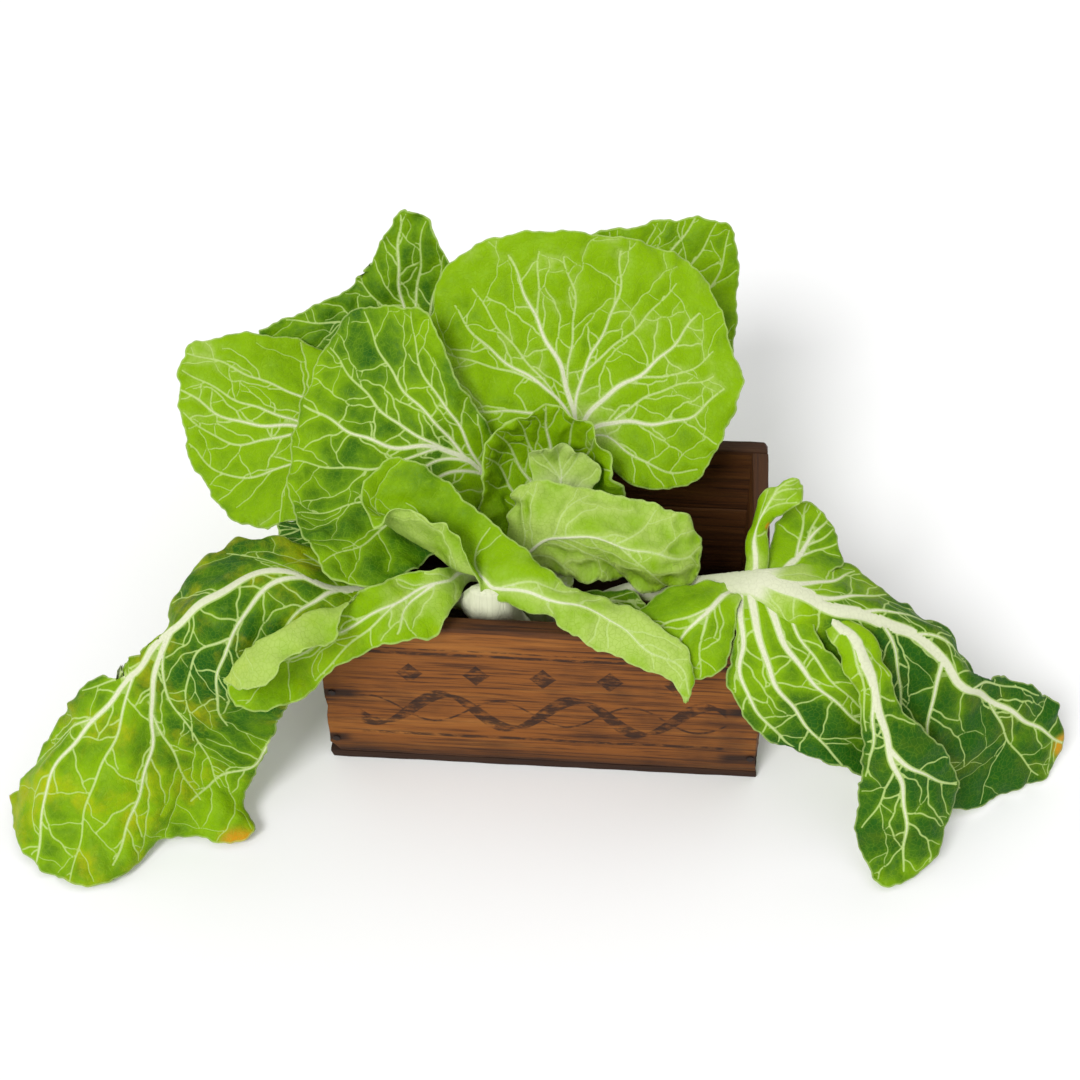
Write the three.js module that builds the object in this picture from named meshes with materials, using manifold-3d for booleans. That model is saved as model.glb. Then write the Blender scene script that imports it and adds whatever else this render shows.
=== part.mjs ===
import * as THREE from 'three';
import { mergeVertices } from 'three/addons/utils/BufferGeometryUtils.js';
import Module from 'manifold-3d';

// A head of tronchuda kale standing in the nailed wooden box that holds it. Millimetres, +Z up.
// The origin is the middle of the box's underside and -Y is its long front.

const wasm = await Module();
wasm.setup();

// Driving dimensions of the box
const BOX_LENGTH = 360;
const BOX_DEPTH = 237;
const BOX_HEIGHT = 167;
const BOARD = 14;
const FLOOR_BOARD = 8;
const FLOOR_BOARDS = 3;
const FLOOR_SEAM = 1;
const BACK_SEAM_HEIGHT = 96;
const CHIP_WIDTH = 7;
const CHIP_HEIGHT = 15;
const GAP = 0.3;

// Nails that hold the long boards to the ends
const NAIL_HEAD_RADIUS = 3;
const NAIL_HEAD_THICK = 1.2;
const NAIL_RADIUS = 1.3;
const NAIL_LENGTH = 34;
const NAIL_SIDES = 8;
const NAIL_HEIGHTS = [26, 84, 142];

// The plant
const STEM = { x: -5, y: 5, radius: 24, top: 100 };
const MARGIN_HALF_THICK = 0.8;
const TIP_RIB_HALF_THICK = 1.4;
const RIB_SHARPNESS = 3;

const COLOURS = {
  wood: 0x8a4a24,
  iron: 0x3a2a22,
  stem: 0xe6ecc8,
  bright: 0x6fae1e,
  deep: 0x3f8a1c,
  pale: 0xa9cf6e,
};

const group = new THREE.Group();

function addMesh(name, geometry, colour, roughness, metalness = 0) {
  const material = new THREE.MeshStandardMaterial({ color: colour, roughness, metalness });
  const mesh = new THREE.Mesh(geometry, material);
  mesh.name = name;
  group.add(mesh);
  return mesh;
}

// ---------------------------------------------------------------- joining and cutting

function toSolid(geometry) {
  const bare = geometry.index ? geometry.toNonIndexed() : geometry.clone();
  bare.deleteAttribute('normal');
  bare.deleteAttribute('uv');
  const merged = mergeVertices(bare, 1e-4);
  const mesh = new wasm.Mesh({
    numProp: 3,
    vertProperties: new Float32Array(merged.attributes.position.array),
    triVerts: new Uint32Array(merged.index.array),
  });
  return new wasm.Manifold(mesh);
}

function toGeometry(solid) {
  const mesh = solid.getMesh();
  const geometry = new THREE.BufferGeometry();
  geometry.setAttribute('position', new THREE.BufferAttribute(mesh.vertProperties, 3));
  geometry.setIndex(new THREE.BufferAttribute(mesh.triVerts, 1));
  geometry.computeVertexNormals();
  return geometry;
}

// ---------------------------------------------------------------- the box

function boxBetween(low, high) {
  const size = high.map((value, axis) => value - low[axis]);
  const geometry = new THREE.BoxGeometry(...size);
  geometry.translate(...low.map((value, axis) => value + size[axis] / 2));
  return geometry;
}

// A nail lying along Y: +1 drives it towards +Y from the front, -1 towards -Y from the back.
function nailGeometry(x, z, direction, radius, headRadius) {
  const profile = [
    new THREE.Vector2(0, 0),
    new THREE.Vector2(radius, 0),
    new THREE.Vector2(radius, NAIL_LENGTH),
    new THREE.Vector2(headRadius, NAIL_LENGTH),
    new THREE.Vector2(headRadius, NAIL_LENGTH + NAIL_HEAD_THICK),
    new THREE.Vector2(0, NAIL_LENGTH + NAIL_HEAD_THICK),
  ];
  const geometry = new THREE.LatheGeometry(profile, NAIL_SIDES);
  if (direction > 0) geometry.rotateX(Math.PI);
  const face = BOX_DEPTH / 2 + GAP;
  geometry.translate(x, direction > 0 ? NAIL_LENGTH - face : face - NAIL_LENGTH, z);
  return geometry;
}

const nailX = BOX_LENGTH / 2 - BOARD / 2;
const nailSites = [];
for (const side of [-1, 1]) {
  for (const face of [1, -1]) {
    for (const [row, z] of NAIL_HEIGHTS.entries()) {
      const where = `${face > 0 ? 'front' : 'back'}_${side < 0 ? 'left' : 'right'}_${row + 1}`;
      nailSites.push({ name: `nail_${where}`, x: side * nailX, z, face });
    }
  }
}

function drilled(geometry) {
  let solid = toSolid(geometry);
  for (const site of nailSites) {
    const bore = nailGeometry(site.x, site.z, site.face, NAIL_RADIUS + GAP, NAIL_RADIUS + GAP);
    solid = solid.subtract(toSolid(bore));
  }
  return toGeometry(solid);
}

function buildBox() {
  const halfLength = BOX_LENGTH / 2;
  const halfDepth = BOX_DEPTH / 2;
  const wallFoot = FLOOR_BOARD + GAP;

  // The front is one wide board whose lower left corner has broken away.
  const outline = new THREE.Shape();
  outline.moveTo(-halfLength + CHIP_WIDTH, wallFoot);
  outline.lineTo(halfLength, wallFoot);
  outline.lineTo(halfLength, BOX_HEIGHT);
  outline.lineTo(-halfLength, BOX_HEIGHT);
  outline.lineTo(-halfLength, wallFoot + CHIP_HEIGHT);
  outline.lineTo(-halfLength + CHIP_WIDTH / 2, wallFoot + CHIP_HEIGHT / 2);
  const front = new THREE.ExtrudeGeometry(outline, { depth: BOARD, bevelEnabled: false });
  front.rotateX(Math.PI / 2);
  front.translate(0, -halfDepth + BOARD, 0);
  addMesh('box_front_board', drilled(front), COLOURS.wood, 0.75);

  const backLow = [-halfLength, halfDepth - BOARD, wallFoot];
  const backHigh = [halfLength, halfDepth, BOX_HEIGHT];
  const lower = boxBetween(backLow, [backHigh[0], backHigh[1], BACK_SEAM_HEIGHT]);
  const upper = boxBetween([backLow[0], backLow[1], BACK_SEAM_HEIGHT + GAP], backHigh);
  addMesh('box_back_board_lower', drilled(lower), COLOURS.wood, 0.75);
  addMesh('box_back_board_upper', drilled(upper), COLOURS.wood, 0.75);

  const inner = halfDepth - BOARD - GAP;
  for (const [name, side] of [['left', -1], ['right', 1]]) {
    const faces = [side * halfLength, side * (halfLength - BOARD)].sort((a, b) => a - b);
    const end = boxBetween([faces[0], -inner, wallFoot], [faces[1], inner, BOX_HEIGHT]);
    addMesh(`box_${name}_end`, drilled(end), COLOURS.wood, 0.75);
  }

  const pitch = BOX_DEPTH / FLOOR_BOARDS;
  for (let i = 0; i < FLOOR_BOARDS; i += 1) {
    const near = -halfDepth + i * pitch + (i ? FLOOR_SEAM / 2 : 0);
    const far = -halfDepth + (i + 1) * pitch - (i < FLOOR_BOARDS - 1 ? FLOOR_SEAM / 2 : 0);
    const board = boxBetween([-halfLength, near, 0], [halfLength, far, FLOOR_BOARD]);
    addMesh(`box_floor_board_${i + 1}`, board, COLOURS.wood, 0.8);
  }

  for (const site of nailSites) {
    const nail = nailGeometry(site.x, site.z, site.face, NAIL_RADIUS, NAIL_HEAD_RADIUS);
    addMesh(site.name, nail, COLOURS.iron, 0.6, 0.6);
  }
}

// ---------------------------------------------------------------- the plant

// A leaf is a net of points. Each row crosses the leaf from one margin over the midrib to the
// other, and the rows follow each other from the petiole to the tip. The stalk before the first
// row is a list of centre points, each with its half width and half thickness.
const LEAVES = {
  back_centre_leaf: {
    colour: 'bright',
    stalk: [[5, 15, 100, 7, 5], [15, 50, 150, 8, 5], [20, 70, 190, 9, 4]],
    rows: [
      [[-35, 65, 205], [-10, 85, 225], [10, 95, 225], [45, 85, 220], [70, 40, 180]],
      [[-80, 70, 225], [-65, 120, 260], [0, 130, 270], [80, 130, 260], [120, 45, 190]],
      [[-115, 130, 260], [-95, 170, 310], [-15, 175, 340], [105, 185, 305], [155, 100, 245]],
    ],
  },
  back_right_leaf: {
    colour: 'bright',
    stalk: [[15, 30, 90, 7, 5], [30, 80, 165, 8, 4], [50, 135, 185, 9, 3]],
    rows: [
      [[15, 210, 195], [75, 215, 205], [135, 180, 175]],
      [[5, 245, 245], [85, 250, 255], [150, 230, 215]],
      [[15, 255, 280], [110, 270, 290], [145, 270, 280]],
    ],
  },
  upper_left_leaf: {
    colour: 'bright',
    stalk: [[-12, 30, 90, 7, 5], [-50, 85, 165, 8, 4], [-95, 145, 185, 9, 3]],
    rows: [
      [[-180, 150, 188], [-150, 178, 198], [-130, 180, 205], [-115, 180, 210], [-100, 180, 205]],
      [[-230, 165, 195], [-185, 195, 230], [-145, 200, 255], [-120, 195, 260], [-95, 185, 255]],
      [[-275, 185, 210], [-190, 205, 250], [-145, 220, 320], [-120, 210, 320], [-95, 185, 290]],
    ],
  },
  far_left_leaf: {
    colour: 'bright',
    stalk: [[-25, 20, 85, 7, 5], [-85, 65, 150, 8, 4], [-150, 85, 178, 9, 3]],
    rows: [
      [[-175, 15, 171], [-195, 95, 180], [-205, 165, 205]],
      [[-265, 25, 128], [-280, 105, 175], [-275, 170, 220]],
      [[-320, 80, 150], [-335, 130, 190], [-330, 160, 215]],
    ],
  },
  left_leaf: {
    colour: 'bright',
    stalk: [[-18, 18, 95, 7, 5], [-38, 35, 145, 8, 5], [-50, 40, 175, 9, 4]],
    rows: [
      [[-75, -25, 182], [-95, 10, 200], [-90, 38, 215], [-78, 50, 236], [-56, 56, 226]],
      [[-120, -98, 196], [-150, -20, 200], [-145, 35, 220], [-130, 80, 255], [-80, 70, 260]],
      [[-170, -108, 208], [-215, -10, 198], [-215, 75, 225], [-180, 135, 275], [-110, 105, 310]],
    ],
  },
  heart_hood_leaf: {
    colour: 'bright',
    stalk: [[-5, -5, 104, 8, 4], [-5, 0, 140, 16, 5]],
    rows: [
      [[-50, -10, 165], [-35, 10, 165], [-5, 25, 165], [20, 15, 165], [40, -5, 165]],
      [[-60, 5, 190], [-40, 40, 200], [-5, 55, 200], [30, 45, 195], [55, 10, 180]],
      [[-65, 15, 210], [-45, 40, 240], [-10, 50, 255], [30, 40, 240], [60, 20, 195]],
    ],
  },
  heart_inner_leaf: {
    colour: 'pale',
    stalk: [[6, -16, 152, 6, 3]],
    rows: [
      [[-12, 4, 192], [5, 8, 192], [24, 4, 188]],
      [[-20, 20, 215], [5, 30, 215], [40, 25, 205]],
      [[-20, 25, 225], [0, 35, 230], [35, 30, 215]],
    ],
  },
  heart_front_leaf: {
    colour: 'pale',
    stalk: [[-15, -15, 100, 8, 5], [-25, -35, 150, 12, 5]],
    rows: [
      [[0, -50, 165], [-15, -45, 185], [-35, -20, 195]],
      [[35, -60, 170], [20, -50, 210], [-20, -10, 230]],
      [[75, -65, 165], [75, -60, 205], [45, -20, 230]],
      [[105, -66, 172], [110, -55, 195], [95, -25, 220]],
      [[120, -58, 173], [125, -38, 193], [115, -25, 205]],
    ],
  },
  front_small_leaf: {
    colour: 'deep',
    stalk: [[5, -15, 90, 6, 4]],
    rows: [
      [[30, -45, 140], [35, -55, 140], [35, -60, 135]],
      [[60, -50, 150], [62, -62, 150], [62, -70, 142]],
      [[78, -62, 156], [80, -70, 155], [78, -76, 148]],
    ],
  },
  left_small_leaf: {
    colour: 'deep',
    stalk: [[-30, 5, 80, 6, 4], [-120, -20, 170, 7, 3]],
    rows: [
      [[-170, -15, 176], [-165, -35, 178], [-165, -50, 178]],
      [[-210, -10, 176], [-200, -30, 180], [-195, -50, 180]],
      [[-225, -20, 176], [-225, -30, 178], [-220, -40, 178]],
    ],
  },
  left_drooping_leaf: {
    colour: 'deep',
    stalk: [[-28, -8, 70, 7, 5], [-75, -36, 112, 8, 6], [-110, -72, 170, 10, 6]],
    rows: [
      [[-180, -50, 182], [-160, -95, 187], [-155, -105, 187], [-155, -112, 185], [-160, -120, 180]],
      [[-255, -55, 190], [-215, -100, 205], [-210, -120, 200], [-205, -135, 185], [-205, -150, 165]],
      [[-295, -105, 175], [-255, -125, 195], [-245, -145, 185], [-235, -160, 160], [-200, -155, 125]],
      [[-300, -140, 170], [-290, -140, 175], [-275, -155, 155], [-255, -165, 120], [-210, -160, 90]],
      [[-330, -145, 140], [-320, -155, 140], [-300, -165, 115], [-260, -170, 85], [-225, -165, 55]],
      [[-380, -150, 95], [-350, -170, 105], [-310, -185, 80], [-275, -180, 55], [-240, -185, 25]],
      [[-420, -185, 35], [-390, -200, 60], [-325, -225, 40], [-285, -200, 35], [-230, -205, 10]],
      [[-440, -185, 10], [-400, -250, 5], [-340, -265, 5], [-300, -220, 10], [-240, -220, 5]],
    ],
  },
  front_left_leaf: {
    colour: 'pale',
    stalk: [[-32, -6, 95, 6, 4], [-64, -46, 156, 7, 4]],
    rows: [
      [[-70, -105, 182], [-75, -95, 188], [-80, -85, 192], [-82, -80, 196]],
      [[-85, -135, 175], [-105, -115, 185], [-105, -95, 195], [-105, -90, 200]],
      [[-120, -145, 175], [-130, -130, 185], [-140, -120, 198], [-142, -118, 204]],
      [[-155, -155, 160], [-160, -145, 175], [-168, -135, 202], [-160, -170, 202]],
      [[-185, -180, 145], [-190, -160, 160], [-200, -155, 200], [-185, -180, 200]],
      [[-215, -190, 140], [-220, -175, 155], [-225, -165, 185], [-210, -200, 180]],
      [[-235, -185, 140], [-240, -180, 150], [-245, -180, 165], [-230, -190, 165]],
    ],
  },
};

// Leaves that fold too much for one net are joined from several blades.
const FRONT_TONGUE = {
  colour: 'pale',
  bulb: [[-25, -20, 60, 14, 9], [-40, -60, 120, 19, 14], [-45, -85, 165, 20, 14], [-45, -95, 190, 12, 6]],
  blades: [
    { rows: [
      [[-150, -25, 235], [-150, -40, 225], [-135, -75, 230]],
      [[-125, -5, 245], [-125, -45, 205], [-115, -65, 245]],
      [[-90, -15, 235], [-95, -60, 195], [-85, -75, 240]],
      [[-55, -45, 225], [-70, -75, 190], [-55, -95, 220]],
      [[-20, -70, 215], [-35, -90, 205], [-45, -100, 185]],
      [[15, -95, 200], [5, -110, 200], [0, -115, 185]],
      [[45, -95, 190], [45, -115, 190], [35, -135, 175]],
      [[90, -122, 188], [80, -138, 178], [75, -148, 168]],
      [[115, -140, 178], [110, -150, 168], [105, -158, 158]],
      [[120, -153, 158], [116, -163, 153], [115, -173, 148]],
    ] },
  ],
};

const RIGHT_DROOPING = {
  colour: 'deep',
  blades: [
    { stalk: [[20, -8, 75, 8, 6], [65, -35, 130, 10, 7], [118, -54, 158, 13, 8], [170, -85, 200, 16, 8]],
      rows: [
        [[235, -40, 185], [220, -105, 200], [200, -120, 175]],
        [[270, -65, 175], [265, -105, 185], [245, -130, 130]],
        [[320, -80, 150], [305, -105, 160], [270, -145, 90]],
        [[345, -95, 115], [330, -115, 130], [295, -155, 40]],
        [[375, -80, 100], [360, -105, 100], [340, -150, 10]],
        [[425, -70, 60], [415, -90, 45], [395, -120, 5]],
        [[435, -75, 35], [435, -85, 25], [425, -100, 5]],
      ] },
    // the lobe that hangs in front on its own rib
    { rows: [
      [[210, -105, 195], [215, -105, 200], [230, -105, 200]],
      [[235, -140, 170], [245, -135, 185], [265, -130, 175]],
      [[250, -160, 140], [260, -155, 155], [280, -155, 145]],
      [[255, -175, 95], [275, -180, 115], [320, -165, 105]],
      [[255, -185, 55], [290, -190, 75], [335, -170, 65]],
      [[260, -200, 20], [295, -205, 30], [325, -195, 25]],
      [[275, -225, 5], [295, -225, 5], [315, -205, 10]],
    ] },
    // the lower half of the blade, over the corner of the box
    { rows: [
      [[150, -88, 193], [168, -96, 200], [198, -100, 202]],
      [[150, -125, 175], [175, -125, 180], [220, -130, 180]],
      [[145, -140, 150], [185, -140, 150], [252, -140, 148]],
      [[155, -150, 130], [200, -150, 125], [272, -142, 108]],
      [[180, -160, 100], [220, -155, 95], [280, -150, 78]],
      [[205, -160, 85], [240, -165, 78], [278, -162, 55]],
    ] },
    // the rounded ear beside the petiole
    { rows: [
      [[142, -68, 180], [152, -80, 188], [160, -90, 193]],
      [[125, -75, 190], [140, -95, 190], [150, -110, 190]],
      [[95, -85, 190], [120, -120, 190], [150, -125, 180]],
      [[75, -103, 182], [105, -132, 174], [145, -138, 166]],
      [[90, -133, 166], [110, -144, 158], [130, -148, 152]],
    ] },
    // the upright leaflet behind the petiole
    { rows: [
      [[156, -72, 193], [165, -75, 197], [176, -72, 197]],
      [[160, -30, 215], [165, -40, 220], [175, -35, 215]],
      [[170, -15, 235], [180, -20, 240], [195, -25, 230]],
      [[190, -10, 245], [195, -10, 245], [205, -10, 240]],
    ] },
    // the lobe between the leaflet and the main blade
    { rows: [
      [[170, -60, 192], [185, -75, 197], [200, -85, 199]],
      [[190, 0, 200], [210, -30, 200], [235, -50, 190]],
      [[200, 5, 205], [225, -5, 200], [235, -35, 190]],
    ] },
  ],
};

// The stalk's rows lie across the direction in which the first row of the blade crosses the leaf.
function stalkRows(stalk, firstRow) {
  const across = firstRow.at(-1).clone().sub(firstRow[0]).normalize();
  return stalk.map(([x, y, z, halfWidth]) => firstRow.map((_, j) => {
    const t = (2 * j) / (firstRow.length - 1) - 1;
    return new THREE.Vector3(x, y, z).addScaledVector(across, t * halfWidth);
  }));
}

function surfaceGrid(net, perRow, perRail) {
  const rails = net[0].map((_, j) => {
    return new THREE.CatmullRomCurve3(net.map((row) => row[j]), false, 'catmullrom', 0.5);
  });
  const rows = (net.length - 1) * perRow;
  const columns = (rails.length - 1) * perRail;
  const grid = [];
  for (let i = 0; i <= rows; i += 1) {
    const row = rails.map((rail) => rail.getPoint(i / rows));
    const cross = new THREE.CatmullRomCurve3(row, false, 'catmullrom', 0.5);
    grid.push(Array.from({ length: columns + 1 }, (_, j) => cross.getPoint(j / columns)));
  }
  return grid;
}

function gridNormal(grid, i, j) {
  const next = grid[Math.min(i + 1, grid.length - 1)][j];
  const last = grid[Math.max(i - 1, 0)][j];
  const right = grid[i][Math.min(j + 1, grid[i].length - 1)];
  const left = grid[i][Math.max(j - 1, 0)];
  const along = next.clone().sub(last);
  const across = right.clone().sub(left);
  return across.cross(along).normalize();
}

// A closed sheet: the grid offset to both sides by a thickness that is greatest along the midrib.
function sheetGeometry(grid, halfThickness) {
  const rows = grid.length;
  const columns = grid[0].length;
  const points = [];
  for (const side of [1, -1]) {
    for (let i = 0; i < rows; i += 1) {
      for (let j = 0; j < columns; j += 1) {
        const shift = side * halfThickness(i / (rows - 1), (2 * j) / (columns - 1) - 1);
        points.push(grid[i][j].clone().addScaledVector(gridNormal(grid, i, j), shift));
      }
    }
  }
  const at = (side, i, j) => side * rows * columns + i * columns + j;
  const index = [];
  const quad = (a, b, c, d) => index.push(a, b, c, a, c, d);
  for (let i = 0; i < rows - 1; i += 1) {
    for (let j = 0; j < columns - 1; j += 1) {
      quad(at(0, i, j), at(0, i, j + 1), at(0, i + 1, j + 1), at(0, i + 1, j));
      quad(at(1, i, j), at(1, i + 1, j), at(1, i + 1, j + 1), at(1, i, j + 1));
    }
  }
  const last = columns - 1;
  for (let i = 0; i < rows - 1; i += 1) {
    quad(at(0, i, 0), at(0, i + 1, 0), at(1, i + 1, 0), at(1, i, 0));
    quad(at(0, i + 1, last), at(0, i, last), at(1, i, last), at(1, i + 1, last));
  }
  for (let j = 0; j < last; j += 1) {
    quad(at(0, 0, j + 1), at(0, 0, j), at(1, 0, j), at(1, 0, j + 1));
    quad(at(0, rows - 1, j), at(0, rows - 1, j + 1), at(1, rows - 1, j + 1), at(1, rows - 1, j));
  }
  const geometry = new THREE.BufferGeometry();
  const position = new Float32Array(points.flatMap((point) => point.toArray()));
  geometry.setAttribute('position', new THREE.BufferAttribute(position, 3));
  geometry.setIndex(index);
  return geometry;
}

function leafSheet({ stalk = [], rows }, perRow = 2, perRail = 2) {
  const blade = rows.map((row) => row.map((point) => new THREE.Vector3(...point)));
  const net = [...stalkRows(stalk, blade[0]), ...blade];
  const grid = surfaceGrid(net, perRow, perRail);
  const ribs = [...stalk.map((point) => point[4]), ...blade.map((_, i) => {
    const start = stalk.length ? stalk.at(-1)[4] : TIP_RIB_HALF_THICK;
    return THREE.MathUtils.lerp(start, TIP_RIB_HALF_THICK, (i + 1) / blade.length);
  })];
  const stalkEnd = stalk.length / (net.length - 1);
  return sheetGeometry(grid, (u, v) => {
    const step = Math.min(u * (net.length - 1), net.length - 1.0001);
    const row = Math.floor(step);
    const rib = THREE.MathUtils.lerp(ribs[row], ribs[row + 1], step - row);
    const sharpness = u < stalkEnd ? 1 : RIB_SHARPNESS;
    const bump = (1 - v * v) ** sharpness;
    return MARGIN_HALF_THICK + (rib - MARGIN_HALF_THICK) * bump;
  });
}

const stemRoom = toSolid(stemGeometry(STEM.radius + GAP, STEM.top + GAP));

function stemGeometry(radius, top) {
  const foot = FLOOR_BOARD + GAP;
  const geometry = new THREE.CylinderGeometry(radius, radius * 0.8, top - foot, 16);
  geometry.rotateX(Math.PI / 2);
  geometry.translate(STEM.x, STEM.y, (top + foot) / 2);
  return geometry;
}

function addLeaf(name, solid, colour) {
  addMesh(name, toGeometry(solid.subtract(stemRoom)), COLOURS[colour], 0.55);
}

function joined(blades) {
  return blades.map((blade) => toSolid(leafSheet(blade))).reduce((all, next) => all.add(next));
}

// The swollen white base of the front leaf: an elliptical section carried along its points.
function bulbGeometry(points) {
  const sides = 10;
  const rings = points.map(([x, y, z, halfWidth, halfThick]) => {
    return Array.from({ length: sides }, (_, k) => {
      const angle = (2 * Math.PI * k) / sides;
      return [x + halfWidth * Math.cos(angle), y + halfThick * Math.sin(angle), z];
    });
  });
  const position = rings.flat(2);
  const index = [];
  for (let i = 0; i < rings.length - 1; i += 1) {
    for (let k = 0; k < sides; k += 1) {
      const a = i * sides + k;
      const b = i * sides + ((k + 1) % sides);
      index.push(a, b, b + sides, a, b + sides, a + sides);
    }
  }
  const top = (rings.length - 1) * sides;
  for (let k = 1; k < sides - 1; k += 1) {
    index.push(0, k + 1, k);
    index.push(top, top + k, top + k + 1);
  }
  const geometry = new THREE.BufferGeometry();
  geometry.setAttribute('position', new THREE.Float32BufferAttribute(position, 3));
  geometry.setIndex(index);
  return geometry;
}

function buildPlant() {
  addMesh('stem', stemGeometry(STEM.radius, STEM.top), COLOURS.stem, 0.6);
  for (const [name, leaf] of Object.entries(LEAVES)) {
    addLeaf(name, toSolid(leafSheet(leaf)), leaf.colour);
  }
  const bulb = toSolid(bulbGeometry(FRONT_TONGUE.bulb));
  addLeaf('front_tongue_leaf', joined(FRONT_TONGUE.blades).add(bulb), FRONT_TONGUE.colour);
  addLeaf('right_drooping_leaf', joined(RIGHT_DROOPING.blades), RIGHT_DROOPING.colour);
}

buildBox();
buildPlant();

export default group;
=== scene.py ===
import math

import bpy
import numpy as np
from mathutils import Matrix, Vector, geometry, kdtree


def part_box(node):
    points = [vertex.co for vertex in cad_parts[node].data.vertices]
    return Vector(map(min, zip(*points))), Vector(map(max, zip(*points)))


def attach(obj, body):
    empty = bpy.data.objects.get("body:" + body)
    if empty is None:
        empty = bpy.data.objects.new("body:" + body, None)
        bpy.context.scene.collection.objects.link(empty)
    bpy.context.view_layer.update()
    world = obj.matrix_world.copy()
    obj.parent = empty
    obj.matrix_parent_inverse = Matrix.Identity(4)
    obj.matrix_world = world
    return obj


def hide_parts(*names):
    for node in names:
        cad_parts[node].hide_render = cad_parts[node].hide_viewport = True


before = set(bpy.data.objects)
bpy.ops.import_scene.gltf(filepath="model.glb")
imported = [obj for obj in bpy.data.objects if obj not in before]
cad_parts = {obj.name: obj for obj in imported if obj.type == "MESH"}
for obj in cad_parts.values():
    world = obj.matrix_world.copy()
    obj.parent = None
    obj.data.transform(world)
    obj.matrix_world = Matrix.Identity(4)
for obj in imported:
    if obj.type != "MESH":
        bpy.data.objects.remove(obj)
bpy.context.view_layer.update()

bl_info = {
    "name": "Tronchuda kale in a wooden box",
    "version": (1, 0, 0),
    "blender": (4, 5, 0),
    "location": "View3D > Sidebar > Kale",
    "description": "Models a loose head of tronchuda kale in an old nailed wooden box",
    "category": "Object",
}

MM = 0.001
BODY = "root"

# ------------------------------------------------------------------ the leaves' nets

# A leaf is a net of points in millimetres, the same as the CAD leaf's. Each row crosses the leaf
# from margin to margin and the rows run from the petiole to the tip. The stalk in front of the
# first row is a list of centre points with half width and half thickness.
#
# A rib is (waypoints, width at its start, width at its end). A waypoint is (row, column) in the
# net, where the stalk's rows count first. fan lists the columns in which the side ribs of a broad
# leaf end, and leave is the row where they leave the midrib.

FRONT_BULB = ((-25, -20, 60, 14, 9), (-40, -60, 120, 19, 14), (-45, -85, 165, 20, 14),
              (-45, -95, 190, 12, 6))

# ------------------------------------------------------------------ a leaf's surface


def catmull(points, where):
    """Points of a uniform Catmull-Rom curve through points[i], one curve for each entry of where."""
    first = 2 * points[:, :1] - points[:, 1:2]
    last = 2 * points[:, -1:] - points[:, -2:-1]
    padded = np.concatenate([first, points, last], axis=1)
    cell = np.clip(np.floor(where).astype(int), 0, points.shape[1] - 2)
    t = (where - cell).reshape(-1, *([1] * (points.ndim - 2)))
    rows = np.arange(len(where))
    p0, p1, p2, p3 = (padded[rows, cell + k] for k in range(4))
    bend = (2 * p0 - 5 * p1 + 4 * p2 - p3) * t ** 2 + (3 * p1 - p0 - 3 * p2 + p3) * t ** 3
    return 0.5 * (2 * p1 + (p2 - p0) * t + bend)


def weights(t):
    """The four Catmull-Rom weights at t between the second and the third point."""
    return (0.5 * (2 * t ** 2 - t ** 3 - t), 0.5 * (2 - 5 * t ** 2 + 3 * t ** 3),
            0.5 * (t + 4 * t ** 2 - 3 * t ** 3), 0.5 * (t ** 3 - t ** 2))


def surface(net, row, column):
    """Points of the smooth sheet through the net, at fractional rows and columns."""
    for _ in range(2):
        net = np.concatenate([2 * net[:1] - net[1:2], net, 2 * net[-1:] - net[-2:-1]])
        net = net.swapaxes(0, 1)
    row_cell = np.clip(np.floor(row).astype(int), 0, net.shape[0] - 4)
    column_cell = np.clip(np.floor(column).astype(int), 0, net.shape[1] - 4)
    total = 0.0
    for i, row_share in enumerate(weights(row - row_cell)):
        for j, column_share in enumerate(weights(column - column_cell)):
            total = total + net[row_cell + i, column_cell + j] * (row_share * column_share)[:, None]
    return total


def stalk_rows(stalk, first_row):
    """The stalk's rows lie across the direction in which the blade's first row crosses the leaf."""
    across = first_row[-1] - first_row[0]
    across /= np.linalg.norm(across)
    spread = np.linspace(-1, 1, len(first_row))[:, None]
    return [np.array(point[:3], float) + spread * point[3] * across for point in stalk]


def flatten(grid, rounds=500):
    """Lays a grid of points flat and relaxes it until its edges are near their true lengths."""
    rows, columns = grid.shape[:2]
    middle = columns // 2
    along = np.linalg.norm(np.diff(grid[:, middle], axis=0), axis=1)
    across = np.linalg.norm(np.diff(grid, axis=1), axis=2)
    x = np.concatenate([np.zeros((rows, 1)), np.cumsum(across, axis=1)], axis=1)
    x -= x[:, middle:middle + 1]
    y = np.repeat(np.concatenate([[0], np.cumsum(along)])[:, None], columns, axis=1)
    flat = np.stack([x, y], -1).reshape(-1, 2)
    index = np.arange(rows * columns).reshape(rows, columns)
    pairs = [(index[:-1], index[1:]), (index[:, :-1], index[:, 1:]),
             (index[:-1, :-1], index[1:, 1:]), (index[:-1, 1:], index[1:, :-1])]
    start = np.concatenate([a.ravel() for a, _ in pairs])
    end = np.concatenate([b.ravel() for _, b in pairs])
    points = grid.reshape(-1, 3)
    length = np.linalg.norm(points[end] - points[start], axis=1)
    share = np.bincount(np.concatenate([start, end]), minlength=len(points))[:, None]
    for _ in range(rounds):
        reach = flat[end] - flat[start]
        now = np.linalg.norm(reach, axis=1) + 1e-9
        pull = reach * (0.5 * (now - length) / now)[:, None]
        move = np.zeros_like(flat)
        for axis in range(2):
            move[:, axis] = np.bincount(start, pull[:, axis], len(points))
            move[:, axis] -= np.bincount(end, pull[:, axis], len(points))
        flat = flat + 1.6 * move / share
    return flat.reshape(rows, columns, 2)


STRAY = 0.07


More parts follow.
